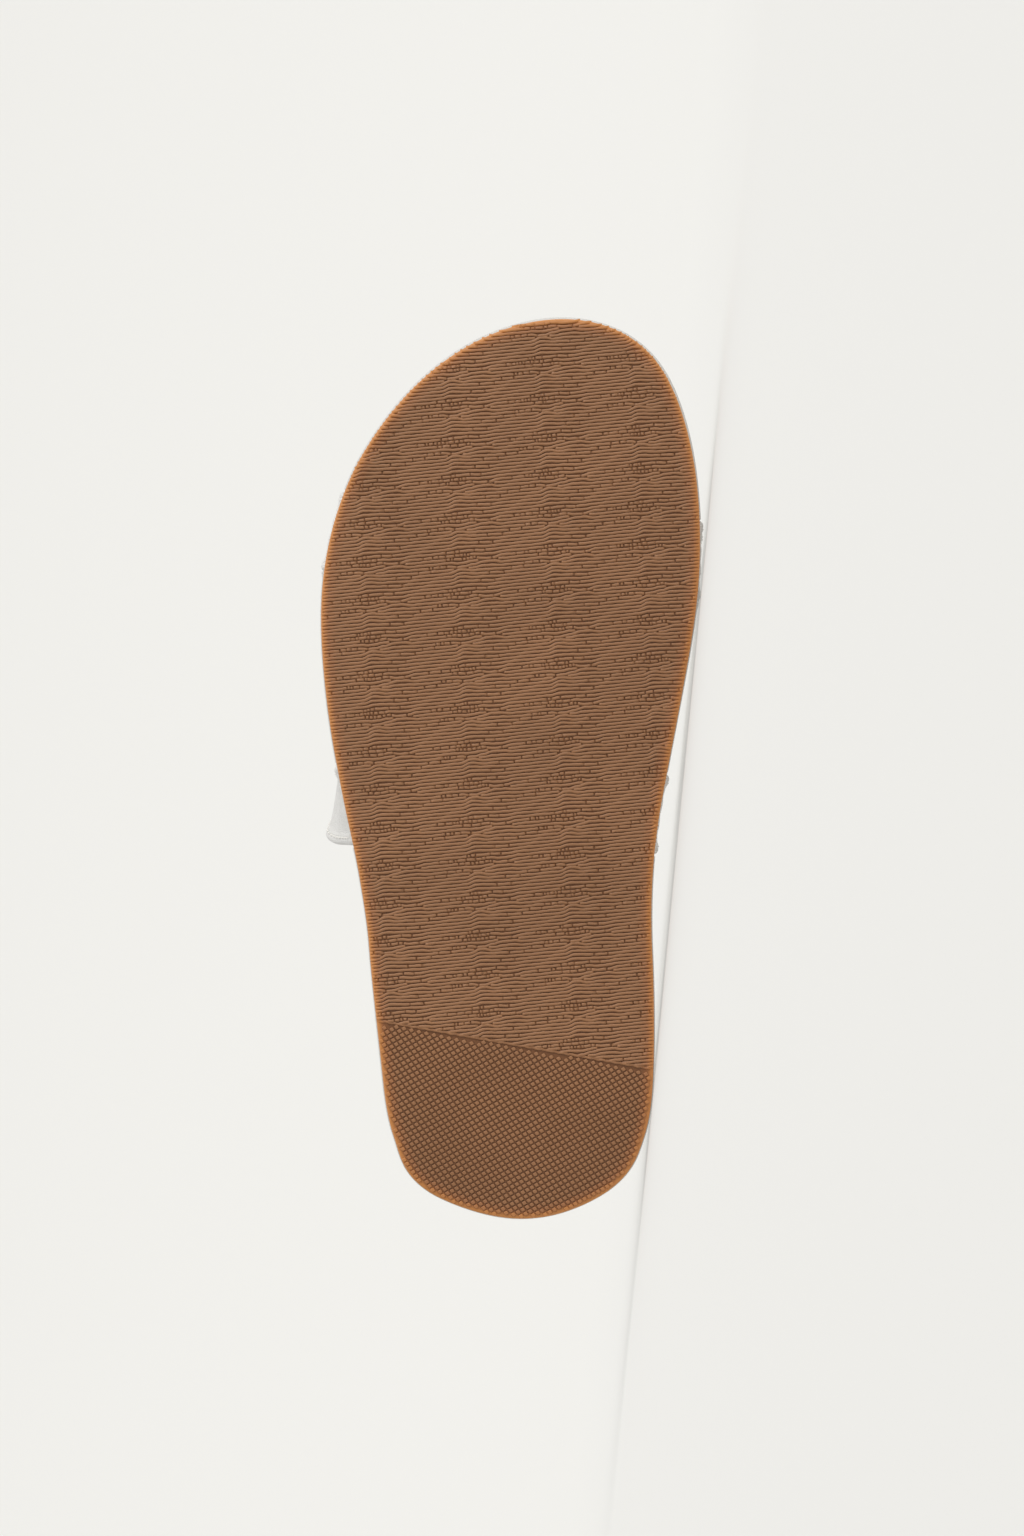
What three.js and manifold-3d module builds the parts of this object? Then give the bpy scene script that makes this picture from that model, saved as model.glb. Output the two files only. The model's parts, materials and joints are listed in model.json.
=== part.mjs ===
// A slide sandal for the right foot, women's size 38, lying on its inner side with the sole's edge and a
// strap on the floor. Millimetres. The shoe is built standing, in its own frame: X runs to the outer side
// of the foot, Y from heel to toe and Z up from the tread. Last of all it is laid down, length along X and
// tread facing -Y.
import * as THREE from "three";
import { ConvexHull } from "three/addons/math/ConvexHull.js";
import { mergeVertices } from "three/addons/utils/BufferGeometryUtils.js";
import Module from "manifold-3d";

const wasm = await Module();
wasm.setup();

// Sole
const soleLength = 252;
const ballWidth = 105.2;
const outsoleThickness = 4;
const treadEdgeRound = 0.6;
const toeSpring = 8;
const flatLength = 166;

// Footbed body, with its heights taken from the tread
const heelRimHeight = 33;
const heelBedHeight = 23.5;
const sideSwell = 0.4;
const toeSwell = 0.9;
const sideFootOut = 0.25;
const rimWidth = 6;
const rimRound = 3.2;
const rimDrop = 1.8;
const cupPower = 2.4;

// Insole
const insoleThickness = 1.7;
const insoleEdgeRound = 0.5;

// Straps
const strapWall = 2.2;
const strapEdgeRound = 0.7;
const hemWidth = 3.3;
const hemRise = 0.5;
const strapProud = 0.2;
const strapEndWidth = 22.5;
const strapMiddleWidth = 29;
const strapTuck = 9;
const strapBend = 2.2;
const crossingHeight = 75;
const innerBulge = 0.6;
const outerBulge = 0.4;
const crossingSink = 0.45;
const crossingRamp = 13;
const swingShare = 0.16;
const looseEdge = 7.8;
const looseHeight = 38;
const looseFade = 1.5;

// Exponents of the arcs of the foot's section over its outer and inner side, 2 for an ellipse
const outerFullness = 2;
const innerFullness = 2.15;

// Places of the strap ends, measured back from the toe tip to the middle of each end
const outerFrontEnd = 59.8;
const outerRearEnd = 136.5;
const innerFrontEnd = 68;
const innerRearEnd = 139;

// The lying shoe leans at most this far from standing square on its inner side
const greatestLean = THREE.MathUtils.degToRad(25);

// Clearance between pieces that touch
const fitGap = 0.3;

// Densities in kg per cubic metre, for the balance of the lying shoe
const rubberDensity = 1200;
const foamDensity = 300;
const leatherDensity = 900;

// How finely the surfaces are divided
const outlineSteps = 84;
const sheetSteps = 3;
const bedSteps = 5;
const strapArcSteps = 30;
const tuckSteps = 2;
const bendSteps = 4;
const riseSteps = 6;
const quarterSteps = 16;
const rimTurns = [0.3, 0.65, 1];
const hemFull = 0.75;
const hemGone = 1.1;
const betweenHems = 0.3;
const mergeDistance = 1e-4;

// The line on which the surfaces close stops this share of ballWidth short of heel and toe
const spineSetback = 1 / 3;

// Small steps over which slopes are taken: in turn, millimetres, strap steps and shares of a strap's half
// width
const turnStep = 0.01;
const placeStep = 0.5;
const lengthwiseStep = 0.35;
const acrossStep = 0.1;

// Sections of the sole. along is a share of soleLength. centre, positive to the outer side, is a share of
// ballWidth, and breadth is the share of ballWidth of the ellipse that is as broad as the sole is there.
// The rims are shares of heelRimHeight, bed is a share of heelBedHeight, and swell goes from 0 for
// sideSwell to 1 for toeSwell.
const soleSections = [
  { along: 0, centre: -0.008, breadth: 1.33, outerRim: 1, innerRim: 1, bed: 1, swell: 0.3 },
  { along: 0.03, centre: 0.003, breadth: 1.39, outerRim: 1, innerRim: 1, bed: 1, swell: 0.25 },
  { along: 0.09, centre: 0, breadth: 1.16, outerRim: 1, innerRim: 1.01, bed: 1, swell: 0.1 },
  { along: 0.18, centre: 0.005, breadth: 0.945, outerRim: 0.99, innerRim: 1.05, bed: 1.01, swell: 0 },
  { along: 0.3, centre: 0.022, breadth: 0.82, outerRim: 0.96, innerRim: 1.11, bed: 1.07, swell: 0 },
  { along: 0.38, centre: 0.0345, breadth: 0.803, outerRim: 0.93, innerRim: 1.14, bed: 1.12, swell: 0 },
  { along: 0.46, centre: 0.043, breadth: 0.845, outerRim: 0.88, innerRim: 1.08, bed: 1.11, swell: 0 },
  { along: 0.58, centre: 0.04, breadth: 0.957, outerRim: 0.79, innerRim: 0.9, bed: 0.97, swell: 0 },
  { along: 0.71, centre: 0.021, breadth: 1.1, outerRim: 0.73, innerRim: 0.76, bed: 0.83, swell: 0.05 },
  { along: 0.82, centre: -0.011, breadth: 1.2, outerRim: 0.72, innerRim: 0.73, bed: 0.8, swell: 0.3 },
  { along: 0.91, centre: -0.056, breadth: 1.275, outerRim: 0.73, innerRim: 0.73, bed: 0.81, swell: 0.75 },
  { along: 1, centre: -0.117, breadth: 1.39, outerRim: 0.74, innerRim: 0.74, bed: 0.83, swell: 1 },
];

// Sections of the foot under the straps, of the middle of the wall. height, of the top, and the turns,
// where the wall begins to lean over the foot, are shares of crossingHeight. ridge is how far the top lies
// to the inner side as a share of ballWidth. bulge is the share of outerBulge and innerBulge that the wall
// stands outside the rim there.
const footSections = [
  { along: 0.36, height: 1.2, ridge: 0.09, outerTurn: 0.5, innerTurn: 0.55, bulge: 0 },
  { along: 0.48, height: 1.1, ridge: 0.11, outerTurn: 0.45, innerTurn: 0.52, bulge: 0.1 },
  { along: 0.6, height: 1, ridge: 0.13, outerTurn: 0.4, innerTurn: 0.47, bulge: 0.6 },
  { along: 0.72, height: 0.88, ridge: 0.14, outerTurn: 0.35, innerTurn: 0.44, bulge: 1 },
  { along: 0.84, height: 0.76, ridge: 0.15, outerTurn: 0.34, innerTurn: 0.42, bulge: 1 },
];

// The side of the footbed from its foot to where the rim begins to round: level is a share of the side's
// height, and swell is the share of the swell reached there.
const sideProfile = [
  { level: 0.03, swell: 0 },
  { level: 0.1, swell: 1 },
  { level: 0.35, swell: 0.93 },
  { level: 0.7, swell: 0.7 },
  { level: 1, swell: 0.3 },
];

// A smooth curve through one column of a table, read at a share of the length.
function smoothColumn(rows, column, key = "along") {
  const slopeAt = (i) => {
    const before = rows[Math.max(i - 1, 0)];
    const after = rows[Math.min(i + 1, rows.length - 1)];
    return (after[column] - before[column]) / (after[key] - before[key]);
  };
  return (share) => {
    const at = THREE.MathUtils.clamp(share, rows[0][key], rows.at(-1)[key]);
    const i = THREE.MathUtils.clamp(rows.findIndex((row) => row[key] > at) - 1, 0, rows.length - 2);
    const from = at === rows.at(-1)[key] ? rows.length - 2 : i;
    const span = rows[from + 1][key] - rows[from][key];
    const t = (at - rows[from][key]) / span;
    const rise = rows[from + 1][column] - rows[from][column];
    const ease = t * t * (3 - 2 * t);
    const leaving = t * (1 - t) * (1 - t) * span * slopeAt(from);
    const arriving = t * t * (1 - t) * span * slopeAt(from + 1);
    return rows[from][column] + rise * ease + leaving - arriving;
  };
}

const centreShare = smoothColumn(soleSections, "centre");
const breadthShare = smoothColumn(soleSections, "breadth");
const outerRimShare = smoothColumn(soleSections, "outerRim");
const innerRimShare = smoothColumn(soleSections, "innerRim");
const bedShare = smoothColumn(soleSections, "bed");
const swellShare = smoothColumn(soleSections, "swell");
const sideShare = smoothColumn(sideProfile, "swell", "level");

const alongOf = (y) => THREE.MathUtils.clamp(y / soleLength, 0, 1);
const centreAt = (y) => ballWidth * centreShare(alongOf(y));

// How far the side of the body swells out from the outsole.
function swellAt(y) {
  const share = THREE.MathUtils.clamp(swellShare(alongOf(y)), 0, 1);
  return THREE.MathUtils.lerp(sideSwell, toeSwell, share);
}

// Height of the tread above the plane that the heel and the ball stand on.
function treadHeight(y) {
  const lifted = Math.max(y - flatLength, 0) / (soleLength - flatLength);
  return toeSpring * lifted * lifted;
}

// Half the breadth of the outsole.
function halfBreadth(y) {
  const along = alongOf(y);
  return ballWidth * breadthShare(along) * Math.sqrt(along * (1 - along));
}

// Point of the outsole's outline. turn goes once round it, from the heel along the outer side to the toe
// and back.
function edgePoint(turn) {
  const along = (1 - Math.cos(turn)) / 2;
  const x = ballWidth * (centreShare(along) + (breadthShare(along) * Math.sin(turn)) / 2);
  return new THREE.Vector2(x, soleLength * along);
}

// Point that lies a distance outward of the outline, square to it.
function outlinePoint(turn, outward) {
  const run = edgePoint(turn + turnStep).sub(edgePoint(turn - turnStep)).normalize();
  const point = edgePoint(turn);
  return point.set(point.x + outward * run.y, point.y - outward * run.x);
}

// Point of the line along the middle of the sole on which the surfaces close.
function spinePoint(turn) {
  const reach = soleLength / 2 - ballWidth * spineSetback;
  const y = soleLength / 2 - reach * Math.cos(turn);
  return new THREE.Vector2(centreAt(y), y);
}

// Height of the rim's crest above the tread, outer side, inner side or blended round the heel and toe.
function rimHeight(x, y) {
  const along = alongOf(y);
  const side = THREE.MathUtils.clamp((x - centreAt(y)) / (ballWidth / 2), -1, 1);
  const toOuter = (1 + Math.sin((side * Math.PI) / 2)) / 2;
  return heelRimHeight * THREE.MathUtils.lerp(innerRimShare(along), outerRimShare(along), toOuter);
}

// Height of the insole's face above the tread. inward is 0 where the rim ends and 1 on the middle line.
function bedHeight(x, y, inward) {
  const middle = heelBedHeight * bedShare(alongOf(y));
  const border = rimHeight(x, y) - rimDrop;
  return middle + (border - middle) * (1 - inward) ** cupPower;
}

// One ring of points round the sole: place gives the plan point and lift its height above the tread.
function ring(place, lift) {
  return Array.from({ length: outlineSteps }, (_, i) => {
    const turn = (2 * Math.PI * i) / outlineSteps;
    const plan = place(turn);
    return new THREE.Vector3(plan.x, plan.y, treadHeight(plan.y) + lift(plan.x, plan.y));
  });
}

const edgeRing = (outward, lift) => ring((turn) => outlinePoint(turn, outward), lift);

// A ring on a surface inside the outline, at a share of the way from a border to the middle line.
function innerRing(outward, inward, lift) {
  const place = (turn) => outlinePoint(turn, outward).lerp(spinePoint(turn), inward);
  return ring(place, (x, y) => lift(x, y, inward));
}

// Whole numbers in a row, from 0 unless another start is given.
const counts = (length, start = 0) => Array.from({ length }, (_, i) => i + start);

// Shares from a border to the middle line, without the border itself.
const inwardShares = (steps) => counts(steps, 1).map((count) => count / steps);

// Closed solid from rings that run from the middle of the underside, round the edge, to the middle of the
// top.
function solidFromRings(rings) {
  const corners = rings.flat().flatMap((point) => point.toArray());
  const faces = [];
  for (let level = 0; level + 1 < rings.length; level += 1) {
    for (let i = 0; i < outlineSteps; i += 1) {
      const next = (i + 1) % outlineSteps;
      const a = level * outlineSteps + i;
      const b = level * outlineSteps + next;
      faces.push(a, b, b + outlineSteps, a, b + outlineSteps, a + outlineSteps);
    }
  }
  return closedGeometry(corners, faces);
}

// Geometry with shared corners and no face that has lost its area.
function closedGeometry(corners, faces) {
  const raw = new THREE.BufferGeometry();
  raw.setAttribute("position", new THREE.Float32BufferAttribute(corners, 3));
  raw.setIndex(faces);
  const merged = mergeVertices(raw, mergeDistance);
  const kept = [];
  for (let i = 0; i < merged.index.count; i += 3) {
    const [a, b, c] = [merged.index.getX(i), merged.index.getX(i + 1), merged.index.getX(i + 2)];
    if (a !== b && b !== c && c !== a) kept.push(a, b, c);
  }
  merged.setIndex(kept);
  return merged;
}

function toSolid(geometry) {
  const vertProperties = new Float32Array(geometry.attributes.position.array);
  const triVerts = new Uint32Array(geometry.index.array);
  return new wasm.Manifold(new wasm.Mesh({ numProp: 3, vertProperties, triVerts }));
}

function toGeometry(solid) {
  const cut = solid.getMesh();
  const geometry = new THREE.BufferGeometry();
  geometry.setAttribute("position", new THREE.BufferAttribute(cut.vertProperties, 3));
  geometry.setIndex(new THREE.BufferAttribute(cut.triVerts, 1));
  return geometry;
}

// Outsole: a flat rubber sheet of one thickness that turns up at the toe, with its edges eased.
function outsoleGeometry() {
  const round = treadEdgeRound;
  const shares = inwardShares(sheetSteps);
  const sheet = (height) => shares.map((inward) => innerRing(-round, inward, () => height));
  return solidFromRings([
    ...sheet(0).reverse(),
    edgeRing(-round, () => 0),
    edgeRing(0, () => round),
    edgeRing(0, () => outsoleThickness - round),
    edgeRing(-round, () => outsoleThickness),
    ...sheet(outsoleThickness),
  ]);
}

const bodyFoot = outsoleThickness + fitGap;

// How far the side of the body stands out from the outsole, at a share of the height of that side.
function sideOut(y, level) {
  return sideFootOut + (swellAt(y) - sideFootOut) * sideShare(level);
}

const sideTop = (x, y) => rimHeight(x, y) - rimRound;

// One ring on the side of the body.
function sideRing(level) {
  const place = (turn) => outlinePoint(turn, sideOut(edgePoint(turn).y, level));
  return ring(place, (x, y) => THREE.MathUtils.lerp(bodyFoot, sideTop(x, y), level));
}

// One ring on the rim, which rounds over from the side to its crest.
function rimRing(angle) {
  const inward = rimRound * (1 - Math.cos(angle));
  const place = (turn) => outlinePoint(turn, sideOut(edgePoint(turn).y, 1) - inward);
  return ring(place, (x, y) => sideTop(x, y) + rimRound * Math.sin(angle));
}

// Footbed body: flat foot, swelling side, rounded rim and a recess for the insole.
function bodyGeometry() {
  const floorHeight = (x, y, inward) => bedHeight(x, y, inward) - insoleThickness - fitGap;
  const underside = inwardShares(sheetSteps).map((inward) => innerRing(0, inward, () => bodyFoot));
  const recess = inwardShares(bedSteps).map((inward) => innerRing(-rimWidth, inward, floorHeight));
  return solidFromRings([
    ...underside.reverse(),
    edgeRing(0, () => bodyFoot),
    ...sideProfile.map((row) => sideRing(row.level)),
    ...rimTurns.map((share) => rimRing((share * Math.PI) / 2)),
    edgeRing(-rimWidth, (x, y) => rimHeight(x, y) - rimDrop),
    edgeRing(-rimWidth, (x, y) => floorHeight(x, y, 0)),
    ...recess,
  ]);
}

// Insole: a leather cover that lies in the recess and follows the cup of the heel and the arch.
function insoleGeometry() {
  const border = -rimWidth - fitGap;
  const faceHeight = (x, y, inward) => bedHeight(x, y, inward);
  const backHeight = (x, y, inward) => bedHeight(x, y, inward) - insoleThickness;
  const face = inwardShares(bedSteps).map((inward) => innerRing(border, inward, faceHeight));
  const back = inwardShares(bedSteps).map((inward) => innerRing(border, inward, backHeight));
  return solidFromRings([
    ...back.reverse(),
    edgeRing(border, (x, y) => backHeight(x, y, 0)),
    edgeRing(border, (x, y) => faceHeight(x, y, 0) - insoleEdgeRound),
    edgeRing(border - insoleEdgeRound, (x, y) => faceHeight(x, y, 0)),
    ...face,
  ]);
}

const footHeight = smoothColumn(footSections, "height");
const outerTurn = smoothColumn(footSections, "outerTurn");
const innerTurn = smoothColumn(footSections, "innerTurn");
const footBulge = smoothColumn(footSections, "bulge");
const footRidge = smoothColumn(footSections, "ridge");

// Plan place of the outsole's edge on one side, 1 for the outer and -1 for the inner.
const edgeX = (side, y) => centreAt(y) + side * halfBreadth(y);

// Height above the tread at which the straps begin to lean over the foot.
const turnHeight = (side, y) => crossingHeight * (side > 0 ? outerTurn : innerTurn)(alongOf(y));

// Plan place of the middle of the strap's wall beside the body, at a height above the tread. The wall is
// let into the body so that its face stands only strapProud outside it, and bulges a little above the rim.
function strapSideX(side, y, height) {
  const slant = (edgeX(side, y + placeStep) - edgeX(side, y - placeStep)) / (2 * placeStep);
  const shoulder = sideTop(edgeX(side, y), y);
  const level = THREE.MathUtils.clamp((height - bodyFoot) / (shoulder - bodyFoot), 0, 1);
  const bulge = (side > 0 ? outerBulge : innerBulge) * footBulge(alongOf(y));
  const out = sideOut(y, level) + strapProud - strapWall / 2;
  const above = THREE.MathUtils.smoothstep(height, shoulder, turnHeight(side, y));
  return edgeX(side, y) + side * (out * Math.hypot(1, slant) + bulge * above);
}

// One cross-section of the upper at a place along the sole, as points {x, z} in zones: the tuck and the
// side at the outer edge, the arc over the foot, and the side and the tuck at the inner edge.
function footSection(y) {
  const tread = treadHeight(y);
  const low = bodyFoot + strapWall / 2;
  const half = (side) => {
    const foot = strapSideX(side, y, low + strapBend);
    const tuck = counts(tuckSteps + 1).map((count) => ({
      x: foot - side * THREE.MathUtils.lerp(strapBend, strapTuck, 1 - count / tuckSteps),
      z: tread + low,
    }));
    const bend = counts(bendSteps, 1).map((count) => {
      const angle = (count / bendSteps) * (Math.PI / 2);
      return {
        x: foot - side * strapBend * (1 - Math.sin(angle)),
        z: tread + low + strapBend * (1 - Math.cos(angle)),
      };
    });
    const rise = counts(riseSteps, 1).map((count) => {
      const height = THREE.MathUtils.lerp(low + strapBend, turnHeight(side, y), count / riseSteps);
      return { x: strapSideX(side, y, height), z: tread + height };
    });
    return [...tuck, ...bend, ...rise];
  };
  const outer = half(1);
  const inner = half(-1);
  const along = alongOf(y);
  const peakX = centreAt(y) - ballWidth * footRidge(along);
  const peak = { x: peakX, z: tread + crossingHeight * footHeight(along) };
  const quarter = (from, fullness) =>
    counts(quarterSteps + 1).map((count) => {
      const angle = (count / quarterSteps) * (Math.PI / 2);
      return {
        x: peak.x + (from.x - peak.x) * Math.cos(angle) ** (2 / fullness),
        z: from.z + (peak.z - from.z) * Math.sin(angle) ** (2 / fullness),
      };
    });
  const over = [
    ...quarter(outer.at(-1), outerFullness),
    ...quarter(inner.at(-1), innerFullness).reverse().slice(1),
  ];
  return { outer, over, inner: inner.reverse() };
}

// Point at a share of the length of a chain of points.
function alongChain(points, share) {
  const steps = points.slice(1).map((point, i) => Math.hypot(point.x - points[i].x, point.z - points[i].z));
  let left = share * steps.reduce((sum, step) => sum + step, 0);
  const i = Math.max(0, steps.findIndex((step) => (left -= step) <= 1e-9));
  const t = 1 + left / steps[i];
  return {
    x: THREE.MathUtils.lerp(points[i].x, points[i + 1].x, t),
    z: THREE.MathUtils.lerp(points[i].z, points[i + 1].z, t),
  };
}

const endSteps = tuckSteps + bendSteps + riseSteps;
const strapSteps = 2 * endSteps + strapArcSteps;

// Share of the arc over the foot that a step of the strap has come.
const arcShare = (step) => THREE.MathUtils.clamp((step - endSteps) / strapArcSteps, 0, 1);

// Share of the way across the foot that a step of the strap has come: 0 up to the outer rim and 1 from the
// inner rim on. The strap leaves each rim square to the sole, swings round in a soft bend and then runs
// straight.
function crossShare(step) {
  const start = endSteps - riseSteps / 2;
  const t = THREE.MathUtils.clamp((step - start) / (strapSteps - 2 * start), 0, 1);
  const bend = Math.min(t, 1 - t, swingShare);
  const way = Math.min(t, 1 - t) - bend + (bend * bend) / (2 * swingShare);
  const whole = 1 - swingShare;
  return (t < 0.5 ? way : whole - way) / whole;
}

const strapPlaces = {
  under: { outer: soleLength - outerFrontEnd, inner: soleLength - innerRearEnd },
  over: { outer: soleLength - outerRearEnd, inner: soleLength - innerFrontEnd },
};

// Place along the sole of the middle line of a strap.
function middleOf(strap, step) {
  const { outer, inner } = strapPlaces[strap];
  return THREE.MathUtils.lerp(outer, inner, crossShare(step));
}

// Width of a strap, which grows from its ends to its middle.
function widthAt(step) {
  const toMiddle = Math.sin(Math.PI * crossShare(step)) ** 2;
  return THREE.MathUtils.lerp(strapEndWidth, strapMiddleWidth, toMiddle);
}

// Middle of the wall of a strap. across goes from -1 at its rear edge to 1 at its front edge.
function strapMiddle(strap, step, across) {
  const y = middleOf(strap, step) + (across * widthAt(step)) / 2;
  const section = footSection(y);
  const whole = Math.min(Math.floor(step), strapSteps - 1);
  const innerStart = endSteps + strapArcSteps;
  let plan;
  if (step < endSteps) plan = between(section.outer, whole, step - whole);
  else if (step > innerStart) plan = between(section.inner, whole - innerStart, step - whole);
  else plan = alongChain(section.over, arcShare(step));
  return new THREE.Vector3(plan.x, y, plan.z);
}

// Point between two neighbours of a chain.
function between(points, i, t) {
  return {
    x: THREE.MathUtils.lerp(points[i].x, points[i + 1].x, t),
    z: THREE.MathUtils.lerp(points[i].z, points[i + 1].z, t),
  };
}

// Unit vector square to the wall, away from the foot.
function strapNormal(strap, step, across) {
  const along = strapMiddle(strap, Math.min(step + lengthwiseStep, strapSteps), across);
  along.sub(strapMiddle(strap, Math.max(step - lengthwiseStep, 0), across));
  const sideways = strapMiddle(strap, step, across + acrossStep);
  sideways.sub(strapMiddle(strap, step, across - acrossStep));
  return sideways.cross(along).normalize();
}

// How far the strap on top rises to pass over the one below.
function crossingLift(strap, step, across) {
  if (strap === "under") return 0;
  const y = middleOf(strap, step) + (across * widthAt(step)) / 2;
  const away = Math.abs(y - middleOf("under", step)) - widthAt(step) / 2;
  const near = 1 - THREE.MathUtils.smoothstep(away, 0, crossingRamp);
  return (strapWall - crossingSink + hemRise) * near;
}

// How far the rear edge of the outer rear end stands loose from the foot, most at looseHeight above the
// tread.
function looseLift(strap, step, across, height) {
  if (strap === "under" || step > strapSteps / 2) return 0;
  const rising = THREE.MathUtils.smoothstep(height, bodyFoot + strapBend, looseHeight);
  const falling = 1 - THREE.MathUtils.smoothstep(height, looseHeight, crossingHeight);
  const share = Math.max(1 - across, 0) / 2;
  return looseEdge * rising * falling * share ** looseFade;
}

// Half the wall: the turned edges are thicker than the leather between them, and pressed flat where they
// are tucked in.
function halfWall(step, across) {
  const fromEdge = ((1 - Math.abs(across)) * widthAt(step)) / 2;
  const turned = 1 - THREE.MathUtils.smoothstep(fromEdge, hemFull * hemWidth, hemGone * hemWidth);
  const fromEnd = Math.min(step, strapSteps - step);
  const out = THREE.MathUtils.smoothstep(fromEnd, tuckSteps, tuckSteps + bendSteps);
  return strapWall / 2 + hemRise * turned * out;
}

// Places across a strap where its section has points, dense at the turned edges.
function acrossPlaces(step) {
  const half = widthAt(step) / 2;
  const rounding = 1 - strapEdgeRound / half;
  const hemTop = 1 - (hemFull * hemWidth) / half;
  const hemFoot = 1 - (hemGone * hemWidth) / half;
  return [-rounding, -hemTop, -hemFoot, -betweenHems, betweenHems, hemFoot, hemTop, rounding];
}

// Closed ring of points round the strap's section at one step, grown on all sides by a clearance.
function strapRing(strap, step, grow) {
  const lifted = (across, height) => {
    const normal = strapNormal(strap, step, across);
    const rise = height + crossingLift(strap, step, across);
    const point = strapMiddle(strap, step, across).addScaledVector(normal, rise);
    point.x += looseLift(strap, step, across, point.z);
    if (step === 0) point.x -= grow;
    if (step === strapSteps) point.x += grow;
    return point;
  };
  const wide = 1 + (2 * grow) / widthAt(step);
  const places = acrossPlaces(step);
  const face = places.map((across) => lifted(across * wide, halfWall(step, across) + grow));
  const back = places.map((across) => lifted(across * wide, -strapWall / 2 - grow));
  return [...face, lifted(wide, 0), ...back.reverse(), lifted(-wide, 0)];
}

function strapSolid(strap, grow = 0) {
  const rings = Array.from({ length: strapSteps + 1 }, (_, step) => strapRing(strap, step, grow));
  const around = rings[0].length;
  const corners = rings.flat().flatMap((point) => point.toArray());
  const faces = [];
  for (let step = 0; step < strapSteps; step += 1) {
    for (let i = 0; i < around; i += 1) {
      const a = step * around + i;
      const b = step * around + ((i + 1) % around);
      faces.push(a, b + around, a + around, a, b, b + around);
    }
  }
  const last = strapSteps * around;
  for (let i = 1; i + 1 < around; i += 1) {
    faces.push(0, i + 1, i, last, last + i, last + i + 1);
  }
  return toSolid(closedGeometry(corners, faces));
}

const upperSolid = strapSolid("under").add(strapSolid("over"));
const notchSolid = strapSolid("under", fitGap).add(strapSolid("over", fitGap));
const bodySolid = toSolid(bodyGeometry()).subtract(notchSolid);

function piece(name, geometry, color, roughness) {
  geometry.computeVertexNormals();
  const mesh = new THREE.Mesh(geometry, new THREE.MeshStandardMaterial({ color, roughness, metalness: 0 }));
  mesh.name = name;
  return mesh;
}

const outsole = piece("outsole", outsoleGeometry(), 0x8a5f45, 0.6);
const midsole = piece("midsole", toGeometry(bodySolid), 0xd8d7d2, 0.6);
const insole = piece("insole", insoleGeometry(), 0xdcd3c4, 0.65);
const upper = piece("upper", toGeometry(upperSolid), 0xe8e7e3, 0.5);

// Volume and volume times centre of a closed mesh.
function bulk(mesh) {
  const { position } = mesh.geometry.attributes;
  const { index } = mesh.geometry;
  const corner = (i) => new THREE.Vector3().fromBufferAttribute(position, index.getX(i));
  const moment = new THREE.Vector3();
  let volume = 0;
  for (let i = 0; i < index.count; i += 3) {
    const [a, b, c] = [corner(i), corner(i + 1), corner(i + 2)];
    const wedge = a.dot(b.clone().cross(c)) / 6;
    volume += wedge;
    moment.addScaledVector(a.add(b).add(c), wedge / 4);
  }
  return { volume, moment };
}

// Centre of mass of the shoe in its own frame.
function balancePoint() {
  const masses = [
    [outsole, rubberDensity],
    [midsole, foamDensity],
    [insole, leatherDensity],
    [upper, leatherDensity],
  ];
  const sum = new THREE.Vector3();
  let mass = 0;
  for (const [mesh, density] of masses) {
    const { volume, moment } = bulk(mesh);
    sum.addScaledVector(moment, density);
    mass += volume * density;
  }
  return sum.divideScalar(mass);
}

// How far inside a face of a convex hull a point lies when it is dropped square onto that face.
function inside(face, point) {
  const dropped = point.clone().addScaledVector(face.normal, -face.distanceToPoint(point));
  let margin = Infinity;
  let edge = face.edge;
  do {
    const from = edge.tail().point;
    const inward = face.normal.clone().cross(edge.head().point.clone().sub(from)).normalize();
    margin = Math.min(margin, inward.dot(dropped.clone().sub(from)));
    edge = edge.next;
  } while (edge !== face.edge);
  return margin;
}

// The way down when the shoe lies on its inner side: the normal of that face of its convex hull on which it
// balances best, which spans the inner edge of the sole and the inner front end of a strap.
function wayDown(meshes, centre) {
  const points = meshes.flatMap((mesh) => {
    const { position } = mesh.geometry.attributes;
    return counts(position.count).map((i) => new THREE.Vector3().fromBufferAttribute(position, i));
  });
  const toInnerSide = new THREE.Vector3(-1, 0, 0);
  const hull = new ConvexHull().setFromPoints(points);
  const faces = hull.faces.filter((face) => face.normal.angleTo(toInnerSide) < greatestLean);
  faces.sort((a, b) => inside(b, centre) - inside(a, centre));
  return faces[0].normal.clone();
}

// Lays the shoe down: the way down becomes -Z, the tread faces -Y, and the origin is the middle of the
// floor print.
function layDown(meshes) {
  const down = wayDown(meshes, balancePoint());
  const treadSide = new THREE.Vector3(0, 0, -1).projectOnPlane(down).normalize();
  const up = down.clone().negate();
  const backward = treadSide.clone().negate();
  const lengthwise = backward.clone().cross(up);
  const turn = new THREE.Matrix4().makeBasis(lengthwise, backward, up).transpose();
  const shoe = new THREE.Group();
  shoe.add(...meshes);
  shoe.quaternion.setFromRotationMatrix(turn);
  const box = new THREE.Box3().setFromObject(shoe, true);
  const middle = box.getCenter(new THREE.Vector3());
  shoe.position.set(-middle.x, -middle.y, -box.min.z);
  return shoe;
}

const group = new THREE.Group();
group.add(layDown([outsole, midsole, insole, upper]));

export default group;
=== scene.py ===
"""A slide sandal for the right foot, as it lies on its inner side, seen square from below.

Lengths are millimetres in the shoe's own frame, as in its construction: X runs to the outer
side of the foot, Y from heel to toe and Z up from the tread. ShoeFrame puts them in place.
"""

import json
import logging
import math
from collections.abc import Callable, Iterator, Sequence
from dataclasses import dataclass
from enum import Enum, IntEnum

import bmesh
import bpy
import numpy as np
from mathutils import Matrix, Vector


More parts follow.
